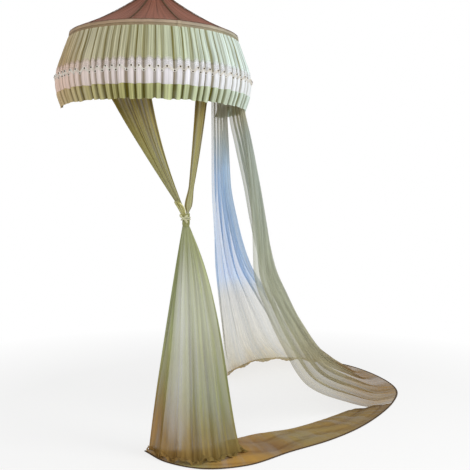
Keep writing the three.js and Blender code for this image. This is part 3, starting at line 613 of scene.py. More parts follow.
# %% Cone panels and seam tapes
CONE_PANELS = 12
SECTOR = 360 / CONE_PANELS
APEX_RADIUS, CONE_EDGE = 0.020, 0.440
TAPE_WIDTH = 0.0095
band_low, band_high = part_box("hoop_band")
CONE_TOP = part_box("cone_panel_1")[1][2]
CONE_FOOT = band_high[2] + 0.0012
cone_out = (0, 0.1, 0.25, 0.42, 0.6, 0.8, 1)
cone_fall = (0, 0.14, 0.32, 0.5, 0.67, 0.84, 1)


def cone_point(down, degrees, lift):
    radius = blend((APEX_RADIUS, CONE_EDGE), through_points(cone_out, down))
    return on_circle(radius, degrees, blend((CONE_TOP, CONE_FOOT), through_points(cone_fall, down)) + lift)


def build_cone_panel(k):
    across, down = plane_of(61, 49)
    middle = hump(across)
    hang = -0.0055 * middle * hump(down) * (1 + 0.3 * math.sin(2.4 * k))
    seed = 40 + k
    pucker = 0.0011 * (1 - middle) * swing(26 * down + wander(down, 9, seed))
    drawn = 0.0016 * ridges(6 * across + 0.2 * wander(down, 6, seed + 20)) * (1 - ease(down, 0.05, 0.5))
    tucks = sum(np.exp(-((across - at - 0.02 * wander(down, 5, seed + 30)) / 0.016) ** 2) for at in (0.3, 0.6))
    tucks = tucks * (1 - 0.75 * ease(down, 0.5, 1))
    grid = cone_point(down, (k - 0.5 + across) * SECTOR, hang + pucker * ease(down, 0, 0.2) + drawn - 0.0012 * tucks)
    # fold sets the panel's painted shade: darker beside the seams, in the puckers' hollows and in the two tucks
    fold = 0.55 + 0.45 * middle + 120 * pucker - 0.9 * tucks
    add_sheet(f"cone_cloth_{k + 1}", f"cone_panel_{k + 1}", grid, fold, 1 - ease(down, 0, 0.3), rose_net, "rose_net")


def build_seam_tape(k):
    across, down = plane_of(5, 60, 0.16)
    place = (k + 0.5) * SECTOR
    base = cone_point(down, place, 0.0014) + on_circle(1.0, place + 90, 0) * ((across - 0.5) * TAPE_WIDTH)[..., None]
    arch = 0.0006 + 0.0008 * (1 - (2 * across - 1) ** 2)
    top = base + np.array([0, 0, 1]) * arch[..., None]
    add_solid(f"seam_{k + 1}", ribbon(top, base), seam_tape, "seam_tape", "canopy", f"seam_tape_{k + 1}")


for k in range(CONE_PANELS):
    build_cone_panel(k)
    build_seam_tape(k)
print("cone from", round(CONE_TOP, 3), "down to", round(CONE_FOOT, 3))

# %% [markdown]
# ## Metal and plastic
# The ceiling plate is enamelled, the hook, ring and screws are plated steel with fine scratches, and the washer and
# the hoop's connectors are moulded plastic. Only the plate and the hook show, but each gets roughness that varies.

# %% Hard finishes
def hard_material(name, colour, other, metallic, rough, scratch):
    material, tree, place = start_material(name)
    cloudy = between(tree, noise(tree, place, 60, 5), 0.3, 0.7, 0, 1)
    fine = noise(tree, place, 900, 2, (1, 1, 0.15))
    finish_surface(tree, fine, scratch, 0.0002, {
        "Base Color": mixed(tree, cloudy, srgb(colour), srgb(other)), "Metallic": metallic,
        "Roughness": between(tree, fine, 0.3, 0.7, rough - 0.08, rough + 0.12)})
    return material


enamel = hard_material("enamel", (233, 228, 216), (224, 217, 203), 0, 0.35, 0.1)
plated_steel = hard_material("plated_steel", (196, 197, 200), (176, 177, 180), 1, 0.28, 0.25)
moulded = hard_material("moulded", (230, 226, 214), (220, 215, 200), 0, 0.5, 0.2)
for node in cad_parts:
    finish = plated_steel if "segment" in node else moulded if "connector" in node or "washer" in node else None
    if finish:
        solid = bpy.data.objects[node]
        solid.data.materials.clear()
        solid.data.materials.append(finish)

# %% [markdown]
# ## The fixing in the ceiling
# A round plate is screwed to the ceiling by two cross-head screws, and an open hook is welded under it. The hook
# is one wire bent round, so it is a tube along the bend's centre line. The crown's ring hangs in it.

# %% Plate, screws and hook
PLATE_RADIUS, PLATE_DEPTH, PLATE_FILLET = 0.03, 0.005, 0.0015
SCREW_RADIUS, UNDER_PLATE = 0.0045, -0.0053
HOOK_CENTRE, HOOK_BEND, HOOK_WIRE = -0.033, 0.012, 0.0025
RING_CENTRE, RING_RADIUS, RING_WIRE = -0.0582, 0.018, 0.002


def screw_head(y):
    """A low dome with a cross cut into it, and a flat face against the plate."""
    share, turn = np.meshgrid(np.linspace(0.06, 1, 14), full_turn(48), indexing="ij")
    x, side = SCREW_RADIUS * share * np.cos(turn), SCREW_RADIUS * share * np.sin(turn)
    cross = (np.minimum(abs(x), abs(side)) < 0.0005) & (share < 0.62)
    z = UNDER_PLATE - 0.0024 * np.sqrt(1 - (share * 0.92) ** 2) + 0.0011 * cross
    rings = np.stack([x, side + y, z], -1)
    rings = np.concatenate([rings, rings[-1:] * [1, 1, 0] + [0, 0, UNDER_PLATE]])
    return rings.reshape(-1, 3), ring_faces(15, 48)


edge = np.radians(np.linspace(-90, 0, 5))
fillet = list(zip(PLATE_RADIUS - PLATE_FILLET + PLATE_FILLET * np.cos(edge),
                  PLATE_FILLET - PLATE_DEPTH + PLATE_FILLET * np.sin(edge)))
plate = lathe([(0, -PLATE_DEPTH), (PLATE_RADIUS - PLATE_FILLET, -PLATE_DEPTH), *fillet, (PLATE_RADIUS, 0), (0, 0)], 96)
add_solid("plate", plate, enamel, "enamel", "ceiling_fixing", "ceiling_plate")
for number, y in ((1, -0.019), (2, 0.019)):
    add_solid(f"screw_{number}", screw_head(y), plated_steel, "steel", "ceiling_fixing", f"ceiling_screw_{number}")

bend = on_circle(HOOK_BEND, np.linspace(50, -205, 60), 0)[:, [0, 2, 1]] + [0, 0, HOOK_CENTRE]
shank = through_points([0, 0, 0, 0.0015, 0.0045, 0.0077], np.linspace(0, 1, 16))
shank = np.stack([shank, 0 * shank, np.linspace(UNDER_PLATE, bend[0][2], 16)], -1)
hook_path = np.concatenate([shank[:-1], bend])
hook_radius = np.full(len(hook_path), HOOK_WIRE)
hook_radius[-3:] = (0.0024, 0.002, 0.0011)
collar = lathe([(0, UNDER_PLATE), (0.0044, UNDER_PLATE), (0.0044, -0.0068), (0.0032, -0.0078), (0, -0.0078)], 32)
add_solid("hook", merged(tube(hook_path, hook_radius, 16, (0, 1, 0)), collar), plated_steel, "steel",
          "ceiling_fixing", "ceiling_hook")

ring_path = on_circle(RING_RADIUS, np.arange(96) / 96 * 360, 0)[:, [2, 0, 1]] + [0, 0, RING_CENTRE]
add_solid("ring", tube(ring_path, RING_WIRE, 14, (1, 0, 0), closed=True), plated_steel, "steel", "canopy",
          "hanging_ring")

# %% [markdown]
# ## Stitches
# Sewn pieces need thread. One small Geometry Nodes tree puts a rounded stitch on every point of a mesh that holds
# only points: each point stores the way its stitch runs and the way it faces. Changing the thread then means
# changing one number. A second tree puts rings on points in the same way, for the eyelets.

# %% Trees for stitches and rings
def new_tree(name, *sockets):
    tree = bpy.data.node_groups.new(name, "GeometryNodeTree")
    for way in ("INPUT", "OUTPUT"):
        tree.interface.new_socket("Geometry", in_out=way, socket_type="NodeSocketGeometry")
    for label, kind in sockets:
        tree.interface.new_socket(label, in_out="INPUT", socket_type="NodeSocket" + kind)
    return tree, add(tree, "NodeGroupInput").outputs


def put_on_points(tree, given, instance, scale=(1, 1, 1)):
    """Sets the shape on every point, turned by the two stored directions, and makes one painted mesh of them."""
    along, facing = (add(tree, "GeometryNodeInputNamedAttribute", {"Name": key},
                         data_type="FLOAT_VECTOR").outputs["Attribute"] for key in ("along", "facing"))
    aim = add(tree, "FunctionNodeAlignRotationToVector", {"Vector": along}, axis="X")
    face = add(tree, "FunctionNodeAlignRotationToVector", {"Rotation": aim, "Vector": facing}, axis="Z", pivot_axis="X")
    place = add(tree, "GeometryNodeInstanceOnPoints", {"Points": given[0], "Instance": instance, "Rotation": face,
                                                       "Scale": scale})
    smooth = add(tree, "GeometryNodeSetShadeSmooth", {0: add(tree, "GeometryNodeRealizeInstances", {0: place})})
    paint = add(tree, "GeometryNodeSetMaterial", {0: smooth, "Material": given["Material"]})
    add(tree, "NodeGroupOutput", {0: paint})
    return tree


def build_stitch_tree():
    tree, given = new_tree("stitches", ("Length", "Float"), ("Thickness", "Float"), ("Material", "Material"))
    bead = add(tree, "GeometryNodeMeshUVSphere", {"Segments": 6, "Rings": 4, "Radius": 0.5})
    size = add(tree, "CombineXYZ", {0: given["Length"], 1: given["Thickness"], 2: given["Thickness"]})
    return put_on_points(tree, given, bead, size)


def build_ring_tree():
    tree, given = new_tree("rings", ("Ring Radius", "Float"), ("Wire Radius", "Float"), ("Material", "Material"))
    path, wire = (add(tree, "GeometryNodeCurvePrimitiveCircle", {"Resolution": sides, "Radius": given[radius]})
                  for sides, radius in ((12, "Ring Radius"), (5, "Wire Radius")))
    return put_on_points(tree, given, add(tree, "GeometryNodeCurveToMesh", {0: path, 1: wire}))


stitch_tree, ring_tree = build_stitch_tree(), build_ring_tree()


def grow(name, tree, places, along, facing, settings, slot, *nodes):
    """Puts the tree's shape on every place, makes it a plain mesh and removes the modifier."""
    mesh = bpy.data.meshes.new(name + "_points")
    mesh.from_pydata(np.asarray(places).tolist(), [], [])
    store(mesh, "along", along, (3,))
    store(mesh, "facing", facing, (3,))
    carrier = in_scene(name + "_points", mesh)
    modifier = carrier.modifiers.new("grow", "NODES")
    modifier.node_group = tree
    for item in tree.interface.items_tree:
        if item.in_out == "INPUT" and item.name in settings:
            modifier[item.identifier] = settings[item.name]
    result = bpy.data.meshes.new_from_object(carrier.evaluated_get(bpy.context.evaluated_depsgraph_get()))
    bpy.data.objects.remove(carrier)
    bpy.data.meshes.remove(mesh)
    result.name = name
    assign(in_scene(name, result), slot, "canopy", *nodes)
    print(f"{name}: {len(places)} on {len(result.polygons)} faces")


def round_the_axis(radius, z, count):
    """Even places on a level circle, with the directions along it and outward."""
    degrees = np.arange(count) / count * 360
    return on_circle(radius, degrees, z), on_circle(1.0, degrees + 90, 0), on_circle(1.0, degrees, 0)


# %% [markdown]
# ## The crown's cap
# A stiff cloth cap covers the gathered tops of the panels, and a webbing loop is sewn on it with both its feet.
# The cap is turned from a rounded profile, the loop is a ribbon bent like a staple round the ring's wire.

# %% Cap and webbing loop
CAP_TOP, LOOP_TOP = -0.1467, -0.0762
WEBBING = 0.0014
cap_line = [(radius, CAP_TOP - drop) for radius, drop in (
    (0, 0.003), (0.0215, 0.003), (0.0365, 0.0172), (0.0376, 0.018), (0.0384, 0.017), (0.0382, 0.0148),
    (0.036, 0.0122), (0.03, 0.0068), (0.0235, 0.0008), (0.021, 0), (0.01, 0), (0, 0))]
cap_ripple = lambda angle, k: (0.0004 if 2 <= k <= 7 else 0) * np.cos(24 * angle)
add_solid("cap", lathe(cap_line, 144, cap_ripple), khaki_tape, "khaki_tape", "canopy", "top_cap")

arch = on_circle(0.0031, np.linspace(180, 0, 17), 0)[:, :2] + [0, LOOP_TOP]
foot = np.array([(0.0165, -0.1464), (0.010, -0.1464), (0.0046, -0.1459), (0.0034, -0.143)])
inner = np.concatenate([foot * [-1, 1], arch, foot[::-1]])
step = unit(np.gradient(inner, axis=0))
outer = inner + WEBBING * np.stack([-step[:, 1], step[:, 0]], -1)
edges, tuck = np.array([-0.005, -0.0046, 0.0046, 0.005]), np.array([0.35, 0, 0, 0.35])


def loop_face(line, other):
    """One face of the webbing, with its edges tucked towards the other face."""
    lines = line[:, None] * (1 - tuck[:, None]) + other[:, None] * tuck[:, None]
    return np.stack([lines[..., 0], np.broadcast_to(edges, lines.shape[:2]), lines[..., 1]], -1)


add_solid("webbing_loop", ribbon(loop_face(outer, inner), loop_face(inner, outer)), khaki_tape, "khaki_tape",
          "canopy", "hanging_loop")

feet = [(s * x, y, -0.1449) for s in (-1, 1) for y in (-0.0036, 0.0036) for x in np.linspace(0.0062, 0.0155, 7)]
rim, rim_along, _ = round_the_axis(0.034, CAP_TOP - 0.0103, 48)
grow("cap_stitches", stitch_tree, np.concatenate([feet, rim]),
     np.concatenate([np.broadcast_to((1.0, 0, 0), (len(feet), 3)), rim_along]), (0, 0, 1),
     dict(Length=0.0017, Thickness=0.0006, Material=thread), "khaki_tape")

# %% [markdown]
# ## The band round the hoop
# The hoop is sewn into a folded tape: a pinkish strip lies over the hoop and a khaki one below it, with a dark
# seam between them and under them. The band is turned from its real folded section. Two rows of stitches follow it.

# %% Band
def band_material():
    material, tree, place = start_material("band_cloth")
    height = between(tree, coordinate(tree, place, "Z"), band_low[2], band_high[2], 0, 1)
    height = maths(tree, "ADD", height, between(tree, noise(tree, place, 30), 0.3, 0.7, -0.04, 0.04))
    base = ramp(tree, height, [(0, (92, 80, 50)), (0.07, (124, 112, 80)), (0.13, (178, 168, 134)),
                               (0.48, (172, 164, 130)), (0.55, (140, 126, 96)), (0.6, (196, 186, 156)),
                               (0.86, (186, 174, 146)), (0.97, (134, 118, 92)), (1, (120, 98, 78))])
    # painted room light across the band: warmer on the left, brighter and bluer on the right, over the tape's colour
    side = ramp(tree, between(tree, coordinate(tree, place, "X"), -0.45, 0.45, 0, 1),
                [(0, (206, 180, 160)), (0.45, (204, 188, 186)), (0.8, (214, 212, 220)), (1, (220, 226, 232))])
    blotch = grey(tree, between(tree, noise(tree, place, 14, 4), 0.35, 0.65, 0.86, 1.1))
    finish_surface(tree, threads(tree, place, 0.0016), 0.4, 0.0005, {
        "Base Color": tinted(tree, tinted(tree, base, side), blotch), "Roughness": 0.85, "Sheen Weight": 0.1})
    return material


BAND_OUTER, BAND_INNER, BAND_WALL = 0.4415, 0.4225, 0.0015
SEAM_HEIGHTS = (0.0042, 0.018)
band_bottom, band_top = band_low[2], band_high[2]


def moved(radius, z, offsets):
    return [(radius + out, z + up) for out, up in offsets]


band_line = [
    *moved(BAND_OUTER, band_bottom, [(-0.0002, 0), (0.0009, 0.0012), (0.0002, 0.003), (0, 0.006), (0, 0.0195),
                                     (0.0012, 0.0211), (0.0012, 0.0223), (-0.0001, 0.0237)]),
    *moved(BAND_OUTER, band_top, [(-0.0004, -0.004), (-0.0022, -0.0008), (-0.006, 0)]),
    *moved(BAND_INNER, band_top, [(0.006, 0), (0.0015, -0.001), (0, -0.004)]),
    (BAND_INNER, band_bottom), (BAND_INNER + BAND_WALL, band_bottom), (BAND_INNER + BAND_WALL, band_top - 0.0035),
    (BAND_OUTER - BAND_WALL, band_top - 0.0035), (BAND_OUTER - BAND_WALL, band_bottom)]


def band_ripple(angle, k):
    """Small puckers in the outer face, which is points 2 to 8 of the section."""
    return (2 <= k <= 8) * (0.00035 * np.cos(116 * angle + k) + 0.0004 * np.sin(41 * angle + 0.6 * k))


band_cloth = band_material()
add_solid("band", lathe(band_line + band_line[:1], 720, band_ripple), band_cloth, "khaki_tape", "canopy", "hoop_band")
seams = [round_the_axis(BAND_OUTER + 0.0003, band_bottom + z, 520) for z in SEAM_HEIGHTS]
grow("band_stitches", stitch_tree, *(np.concatenate(part) for part in zip(*seams)),
     dict(Length=0.0032, Thickness=0.0008, Material=thread), "khaki_tape")

# %% [markdown]
# The tape's two ends overlap on the front, a little to the right. The upper end is turned under and sewn down.

# %% The band's lap
LAP_MIDDLE, LAP_HALF, LAP_HEIGHT = math.radians(285), 0.026, 0.0352


def lap_point(across, up, lift):
    angle = LAP_MIDDLE + LAP_HALF * (2 * across - 1) + 0.006 * up
    bulge = 0.0008 * hump(across) ** 0.5 + 0.0007 * hump(up) ** 0.5
    return on_circle(BAND_OUTER + lift + bulge, np.degrees(angle), band_bottom + 0.0012 + LAP_HEIGHT * up)


across, up = plane_of(17, 25)
add_solid("band_lap", ribbon(lap_point(across, up, 0.0026), lap_point(across, up, 0.0012)), band_cloth,
          "khaki_tape", "canopy")
places = lap_point(np.repeat([0.14, 0.86], 9), np.tile(np.linspace(0.08, 0.92, 9), 2), 0.0028)
grow("lap_stitches", stitch_tree, places, (0, 0, 1), places * [1, 1, 0],
     dict(Length=0.0026, Thickness=0.0008, Material=thread), "khaki_tape")

# %% [markdown]
# ## The frills
# Three tiers hang over one another: a gathered valance all round, then white pleated lace and a green ruffle that
# run from the left side past the front to the curtains. On the real crown they are pleated together, so their
# folds stand over each other. One formula gives the folded surface at any place, and each tier is that surface
# between its own two heights, a step further out than the one behind it.

# %% Frills
PLEATS = 74
FRILL_LEVELS = (-0.4386, -0.5236, -0.6086, -0.6676, -0.7266, -0.7846)
FRILL_RADII = (0.4444, 0.4745, 0.4984, 0.5028, 0.4916, 0.4709)
TIER_STEP = 0.0021
ALL_ROUND, LACE_SPAN = (90, 450), (184, 404)


def pleat_phase(degrees, down=0.0):
    """Counts the pleats round the hoop. Whole numbers are ridges, and pleats differ in width."""
    turn = np.radians(degrees)
    drift = 0.17 * np.sin(7 * turn + 1.1) + 0.13 * np.sin(13 * turn + 2) + 0.12 * np.sin(29 * turn + 0.4)
    return degrees / 360 * PLEATS + drift + 0.1 * np.sin(11 * turn + 2.2) * down


def pleat_wave(degrees, down):
    """Height of the folds up to 1, and the finer gathers that fade away below the band."""
    turn = np.radians(degrees)
    phase = pleat_phase(degrees, down)
    broad = ridges(phase, 1.9, 0.45) * (1 + 0.16 * np.sin(17 * turn) + 0.12 * np.sin(37 * turn + 1))
    fine = (swing(2 * phase + 0.3 * np.sin(19 * turn)) * (1 - 0.85 * ease(down, 0.15, 0.7))
            + 0.8 * swing(3.4 * phase + 0.5 * np.sin(23 * turn + 1)) * (1 - 0.6 * ease(down, 0.2, 0.7)))
    return broad, fine


def frill_point(degrees, z, tier):
    down = (FRILL_LEVELS[0] - z) / (FRILL_LEVELS[0] - FRILL_LEVELS[-1])
    level = np.interp(-z, [-h for h in FRILL_LEVELS], np.linspace(0, 1, 6))
    broad, fine = pleat_wave(degrees, down)
    depth = 0.0022 + 0.0062 * down
    puff = 0.0025 * hump(np.clip(down * 3, 0, 1)) * np.sin(np.radians(degrees) * 9 + 1)
    radius = through_points(FRILL_RADII, level) + depth * broad + 0.0013 * fine + puff + tier * TIER_STEP
    return on_circle(radius, degrees, z), 0.56 + 0.36 * broad + 0.24 * fine


def level_edge(degrees):
    return 0 * degrees


def ragged(degrees):
    turn = np.radians(degrees)
    return 0.0016 * np.sin(23 * turn) + 0.0014 * np.sin(41 * turn + 2)


def lace_top(degrees):
    """The lace stands a little higher on the ridges, with a small scallop of its own."""
    phase = pleat_phase(degrees)
    return 0.0015 + 0.0045 * swing(phase) + 0.0012 * abs(np.sin(3 * np.pi * phase))


def scallop(degrees):
    """Every ridge hangs lower than its valleys, some more than others."""
    turn = np.radians(degrees)
    uneven_drop = 1 + 0.35 * np.sin(31 * turn + 1) + 0.25 * np.sin(47 * turn)
    return -0.0034 * uneven_drop * pleat_wave(degrees, 1.0)[0] + 0.0015 * np.sin(19 * turn)


def build_frill(name, node, tier, span, heights, edges, grid_size, material, slot, thin_top=0):
    """thin_top is how much of its cover the cloth loses at its top edge."""
    across, down = plane_of(*grid_size)
    degrees = blend(span, across)
    top, low = heights[0] + edges[0](degrees), heights[1] + edges[1](degrees)
    grid, fold = frill_point(degrees, blend((top, low), down), tier)
    dense = 1 - thin_top * (1 - ease(down, 0, 0.18))
    add_sheet(name, node, grid, fold, dense, material, slot)


build_frill("valance", "upper_valance", 0, ALL_ROUND, (-0.4386, -0.6086), (level_edge, ragged), (1489, 30),
            sage_voile, "sage_cotton")
build_frill("lace", "lace_ruffle", 1, LACE_SPAN, (-0.5966, -0.7266), (lace_top, scallop), (911, 36),
            white_lace, "white_lace", thin_top=0.8)
build_frill("hem_frill", "hem_ruffle", 2, LACE_SPAN, (-0.7186, -0.7846), (ragged, scallop), (911, 16),
            green_voile, "green_cotton")

# %% [markdown]
# ## The eyelet trim
# A braid waves along the top of the lace, up on every ridge and down in every valley. Real braid is one thread
# looped again and again; here the ring tree sets one ring after another on that line. A larger eyelet sits at each
# turn, with a dark bead in it that is painted shadow, the shade inside the eyelet's hole, and two thin cords follow
# the rings.

# %% Eyelet trim
TRIM_MIDDLE, TRIM_WAVE, RING_STEP = -0.6476, 0.0092, 0.0066


def trim_line(degrees):
    turn = np.radians(degrees)
    z = TRIM_MIDDLE + TRIM_WAVE * swing(pleat_phase(degrees)) + 0.0015 * np.sin(9 * turn)
    outward = on_circle(1.0, degrees, 0)
    return frill_point(degrees, z, 2)[0] + 0.0012 * outward, outward


def evenly_along(low, high, step):
    """Angles whose places on the trim line are one step apart."""
    degrees = np.linspace(low, high, 6000)
    walked = np.concatenate([[0], np.cumsum(np.linalg.norm(np.diff(trim_line(degrees)[0], axis=0), axis=1))])
    return np.interp(np.arange(0, walked[-1], step), walked, degrees)


def turning_places(low, high):
    """Angles of the ridges and of the valleys, where the counted pleats reach a whole or a half number."""
    degrees = np.linspace(low, high, 6000)
    phase = pleat_phase(degrees)
    halves = np.arange(math.ceil(phase[0] * 2) + 0.0, phase[-1] * 2) / 2
    return np.interp(halves, phase, degrees)


small_at, small_face = trim_line(evenly_along(185, 403, RING_STEP))
grow("eyelets", ring_tree, small_at, np.gradient(small_at, axis=0), small_face,
     {"Ring Radius": 0.0031, "Wire Radius": 0.001, "Material": white_thread}, "white_lace", "eyelet_trim")
large_at, large_face = trim_line(turning_places(186, 402))
large_at = large_at + 0.0012 * large_face
grow("large_eyelets", ring_tree, large_at, np.gradient(large_at, axis=0), large_face,
     {"Ring Radius": 0.0058, "Wire Radius": 0.0014, "Material": white_thread}, "white_lace")
# A dark bead in each large eyelet is painted shadow, the shade in the eyelet's hole.
grow("eyelet_shadow_dots", stitch_tree, large_at, (0, 0, 1), large_face,
     dict(Length=0.0092, Thickness=0.0088, Material=eyelet_shadow_paint), "white_lace")
for side, shift in (("upper", 0.006), ("lower", -0.006)):
    cord = trim_line(np.linspace(184.5, 403.5, 1600))[0] + [0, 0, shift]
    add_solid(f"trim_cord_{side}", tube(cord, 0.0011, 6, (0, 0, 1)), white_thread, "white_lace", "canopy")

# %% [markdown]
# ## The swept curtains
# Two long curtains hang from the band behind the opening, fall inside the frills and then sweep out over the floor.
# Cloth simulation of 2 m of net with this much train takes too long and lands somewhere else each time, so each
# curtain is drawn by rule: its top edge follows the band, its hem follows a curve on the floor, and two tables say
# how its two free edges fall between them. Broad folds and finer pleats are pushed out square to that surface.

# %% Curtain helpers
TRAIN_WIDTH, TRAIN_DEPTH = 1.8, 2.3
LAY_LIFT, CLOTH_REST = 0.0032, FLOOR + 0.0015
CURTAIN_RADIUS, CURTAIN_TOP = 0.42325, -0.4475


def floor_curve(shares, lift=LAY_LIFT):
    """A smooth line through places on the floor, which are shares of the train's width and depth. The function
    that comes back counts the places from 0, and gives points between them too."""
    points = np.array([(x * TRAIN_WIDTH, y * TRAIN_DEPTH, FLOOR + lift) for x, y in shares])
    points = np.concatenate([[2 * points[0] - points[1]], points, [2 * points[-1] - points[-2]]])

    def at(count):
        k = np.clip(count.astype(int), 0, len(shares) - 2)
        w = (count - k)[..., None]
        p = [points[k + i] for i in range(4)]
        d = [np.sqrt(np.linalg.norm(p[i + 1] - p[i], axis=-1, keepdims=True)) for i in range(3)]
        m1, m2 = (((p[i] - p[i - 1]) / d[i - 1] - (p[i + 1] - p[i - 1]) / (d[i - 1] + d[i])
                   + (p[i + 1] - p[i]) / d[i]) * d[1] for i in (1, 2))
        ahead = p[2] - p[1]
        return p[1] + m1 * w + (3 * ahead - 2 * m1 - m2) * w ** 2 + (m1 + m2 - 2 * ahead) * w ** 3

    return at


hem_line = floor_curve([(-0.022, -0.017), (0.041, -0.096), (0.141, -0.143), (0.263, -0.13), (0.402, -0.05),
                        (0.55, 0.03), (0.7, 0.145), (0.88, 0.35), (0.955, 0.5), (0.947, 0.674), (0.867, 0.848),
                        (0.711, 0.965), (0.506, 0.965), (0.322, 0.761)])


def hung(start, foot, run, height):
    """A sheet from its top edge to its foot. run and height say how far along and how far up its rows lie."""
    point = blend((start, foot), run[..., None])
    point[..., 2] = blend((foot[..., 2], start[..., 2]), height)
    return point


def folded(flat, u, v, folds, deep, fine_folds, fine, seed, stray=0.35):
    """Pushes broad folds and finer pleats into a flat sheet. deep and fine are depths in metres down the sheet."""
    broad = -swing(folds * u + 0.12 * wander(v, 4, seed) * hump(u))
    small = ridges(uneven(u, v, fine_folds, seed, stray), 1.3)
    small = small * (0.75 + 0.35 * wander(u, 9, seed + 5) * wander(v, 4, seed + 6))
    grid = flat + square_to(flat) * (deep * broad + fine * small)[..., None]
    grid[..., 2] = np.maximum(grid[..., 2], CLOTH_REST)
    return grid, 0.5 + 0.2 * broad + 0.33 * small


def near_side(u, width):
    """1 on a sheet's two side edges, and 0 from the given width inwards."""
    return 1 - ease(np.minimum(u, 1 - u), 0, width)


def build_swept(name, node, top, hem, runs, heights, folds, fine_folds, seed, material, slot):
    u, v = plane_of(321, 150)
    run, height = (blend([through_points(table, v) for table in pair], u) for pair in (runs, heights))
    flat = hung(on_circle(CURTAIN_RADIUS, blend(top, u), CURTAIN_TOP), hem_line(blend(hem, u)), run, height)
    deep = 0.001 * (9 + 17 * np.interp(v, (0, 0.18, 0.5, 0.8, 1), (0, 0, 1, 0.8, -0.53)))
    fine = 0.001 * np.interp(v, (0, 0.1, 0.4, 0.7, 0.9, 1), (2.5, 3.5, 5.5, 5, 3, 1.8))
    grid, fold = folded(flat, u, v, folds, deep, fine_folds, fine, seed)
    band = wander(u, 9, seed + 30) + 0.4 * wander(u, 23, seed + 31)
    dense = 1 - (0.75 - 0.3 * band) * ease(v, 0, 0.22) + 0.6 * ease(v, 0.74, 0.95) + 0.8 * near_side(u, 0.012)
    add_sheet(name, node, grid, fold, dense, material, slot)


# %% Right and back curtains
leading_run = (0, 0.012, 0.046, 0.076, 0.1, 0.122, 0.136, 0.2, 0.285, 0.42, 0.65, 0.86, 1)
leading_height = (1, 0.92, 0.844, 0.765, 0.67, 0.56, 0.44, 0.34, 0.245, 0.13, 0.055, 0.008, 0)
corner_run = (0, 0.01, 0.018, 0.058, 0.112, 0.165, 0.235, 0.325, 0.44, 0.59, 0.75, 0.9, 1)
corner_height = (1, 0.92, 0.844, 0.765, 0.67, 0.56, 0.45, 0.36, 0.26, 0.155, 0.08, 0.02, 0)
slit_run = (0, 0.004, 0.008, 0.012, 0.02, 0.07, 0.15, 0.27, 0.42, 0.58, 0.75, 0.9, 1)
back_run = (0, 0.01, 0.02, 0.04, 0.06, 0.1, 0.18, 0.3, 0.42, 0.56, 0.72, 0.88, 1)
back_height = (1, 0.91, 0.832, 0.77, 0.67, 0.56, 0.44, 0.34, 0.25, 0.15, 0.07, 0.01, 0)
build_swept("right_drape", "right_curtain", (-20, 20), (7, 10), (leading_run, corner_run),
            (leading_height, corner_height), 6, 30, 100, right_net, "sage_net")
build_swept("back_drape", "back_curtain", (22.5, 40), (10.1, 13), (slit_run, back_run),
            (corner_height, back_height), 5, 26, 200, sky_net, "sky_net")

# %% [markdown]
# ## The tied curtain
# The left curtain is gathered to a neck at 1.25 m above the floor, where a soft tie holds it. Above the neck it is
# a swag whose lines run from the band to the tie, and a narrow strip of its free edge hangs in front. Below, it
# fans out again and lies in little puddles on the train.

# %% Swags above the tie
NECK_X, NECK_Y = 0.161, -0.222
NECK_TOP, NECK_LOW, TIE_Z = -1.324, -1.394, -1.35
RIM_RADIUS, FAN_RIM = 0.016, 0.0178


def round_neck(radius, degrees, z):
    return on_circle(radius, degrees, z) + [NECK_X, NECK_Y, 0]


def build_swag(name, node, top, slack, rim, folds, fine_folds, seed, grid_size, spread=(0, 0)):
    """slack bends the two side edges, and spread widens the sheet just above the tie."""
    u, v = plane_of(*grid_size)
    flat = hung(on_circle(CURTAIN_RADIUS, blend(top, u), CURTAIN_TOP),
                round_neck(RIM_RADIUS, blend(rim, u), NECK_TOP + 0.0012), v ** blend(slack, u), 1 - v)
    wide = ease(v, 0.84, 0.955) * (1 - ease(v, 0.955, 1))
    flat[..., 0] += blend(spread, u) * wide
    flat[..., 1] += 0.45 * spread[0] * wide
    grid, fold = folded(flat, u, v, folds, 0.009 * (1 - v) ** 0.7, fine_folds, 0.004 * (1 - v) ** 0.8 + 0.0007, seed)
    dense = 1 - 0.5 * hump(v) ** 1.5 + 0.5 * near_side(u, 0.03)
    add_sheet(name, node, grid, fold, dense, swag_net, "sage_net")


build_swag("swag", "left_swag", (206, 264), (1.05, 1.9), (170, 262), 5, 15, 300, (221, 110))
build_swag("front_strip", "front_fold", (300, 312), (1.5, 1.6), (268, 334), 1, 4, 320, (61, 160), (-0.0125, 0.008))

# %% Fan below the tie
fan_foot = floor_curve([(-0.017, 0.004), (0.027, -0.07), (0.112, -0.108), (0.197, -0.096), (0.266, -0.043)], 0.0139)
fan_runs = (0, 0.15, 0.33, 0.53, 0.75, 0.93, 1), (0, 0.27, 0.48, 0.63, 0.76, 0.91, 1)
fan_height = (1, 0.84, 0.66, 0.47, 0.27, 0.08, 0)
fan_lanes = [(0.13, 0.14, 0.45), (0.39, 0.05, -0.2), (0.62, 0.13, 0.42), (0.86, 0.15, 0.42)]
LYING_FROM = 0.93


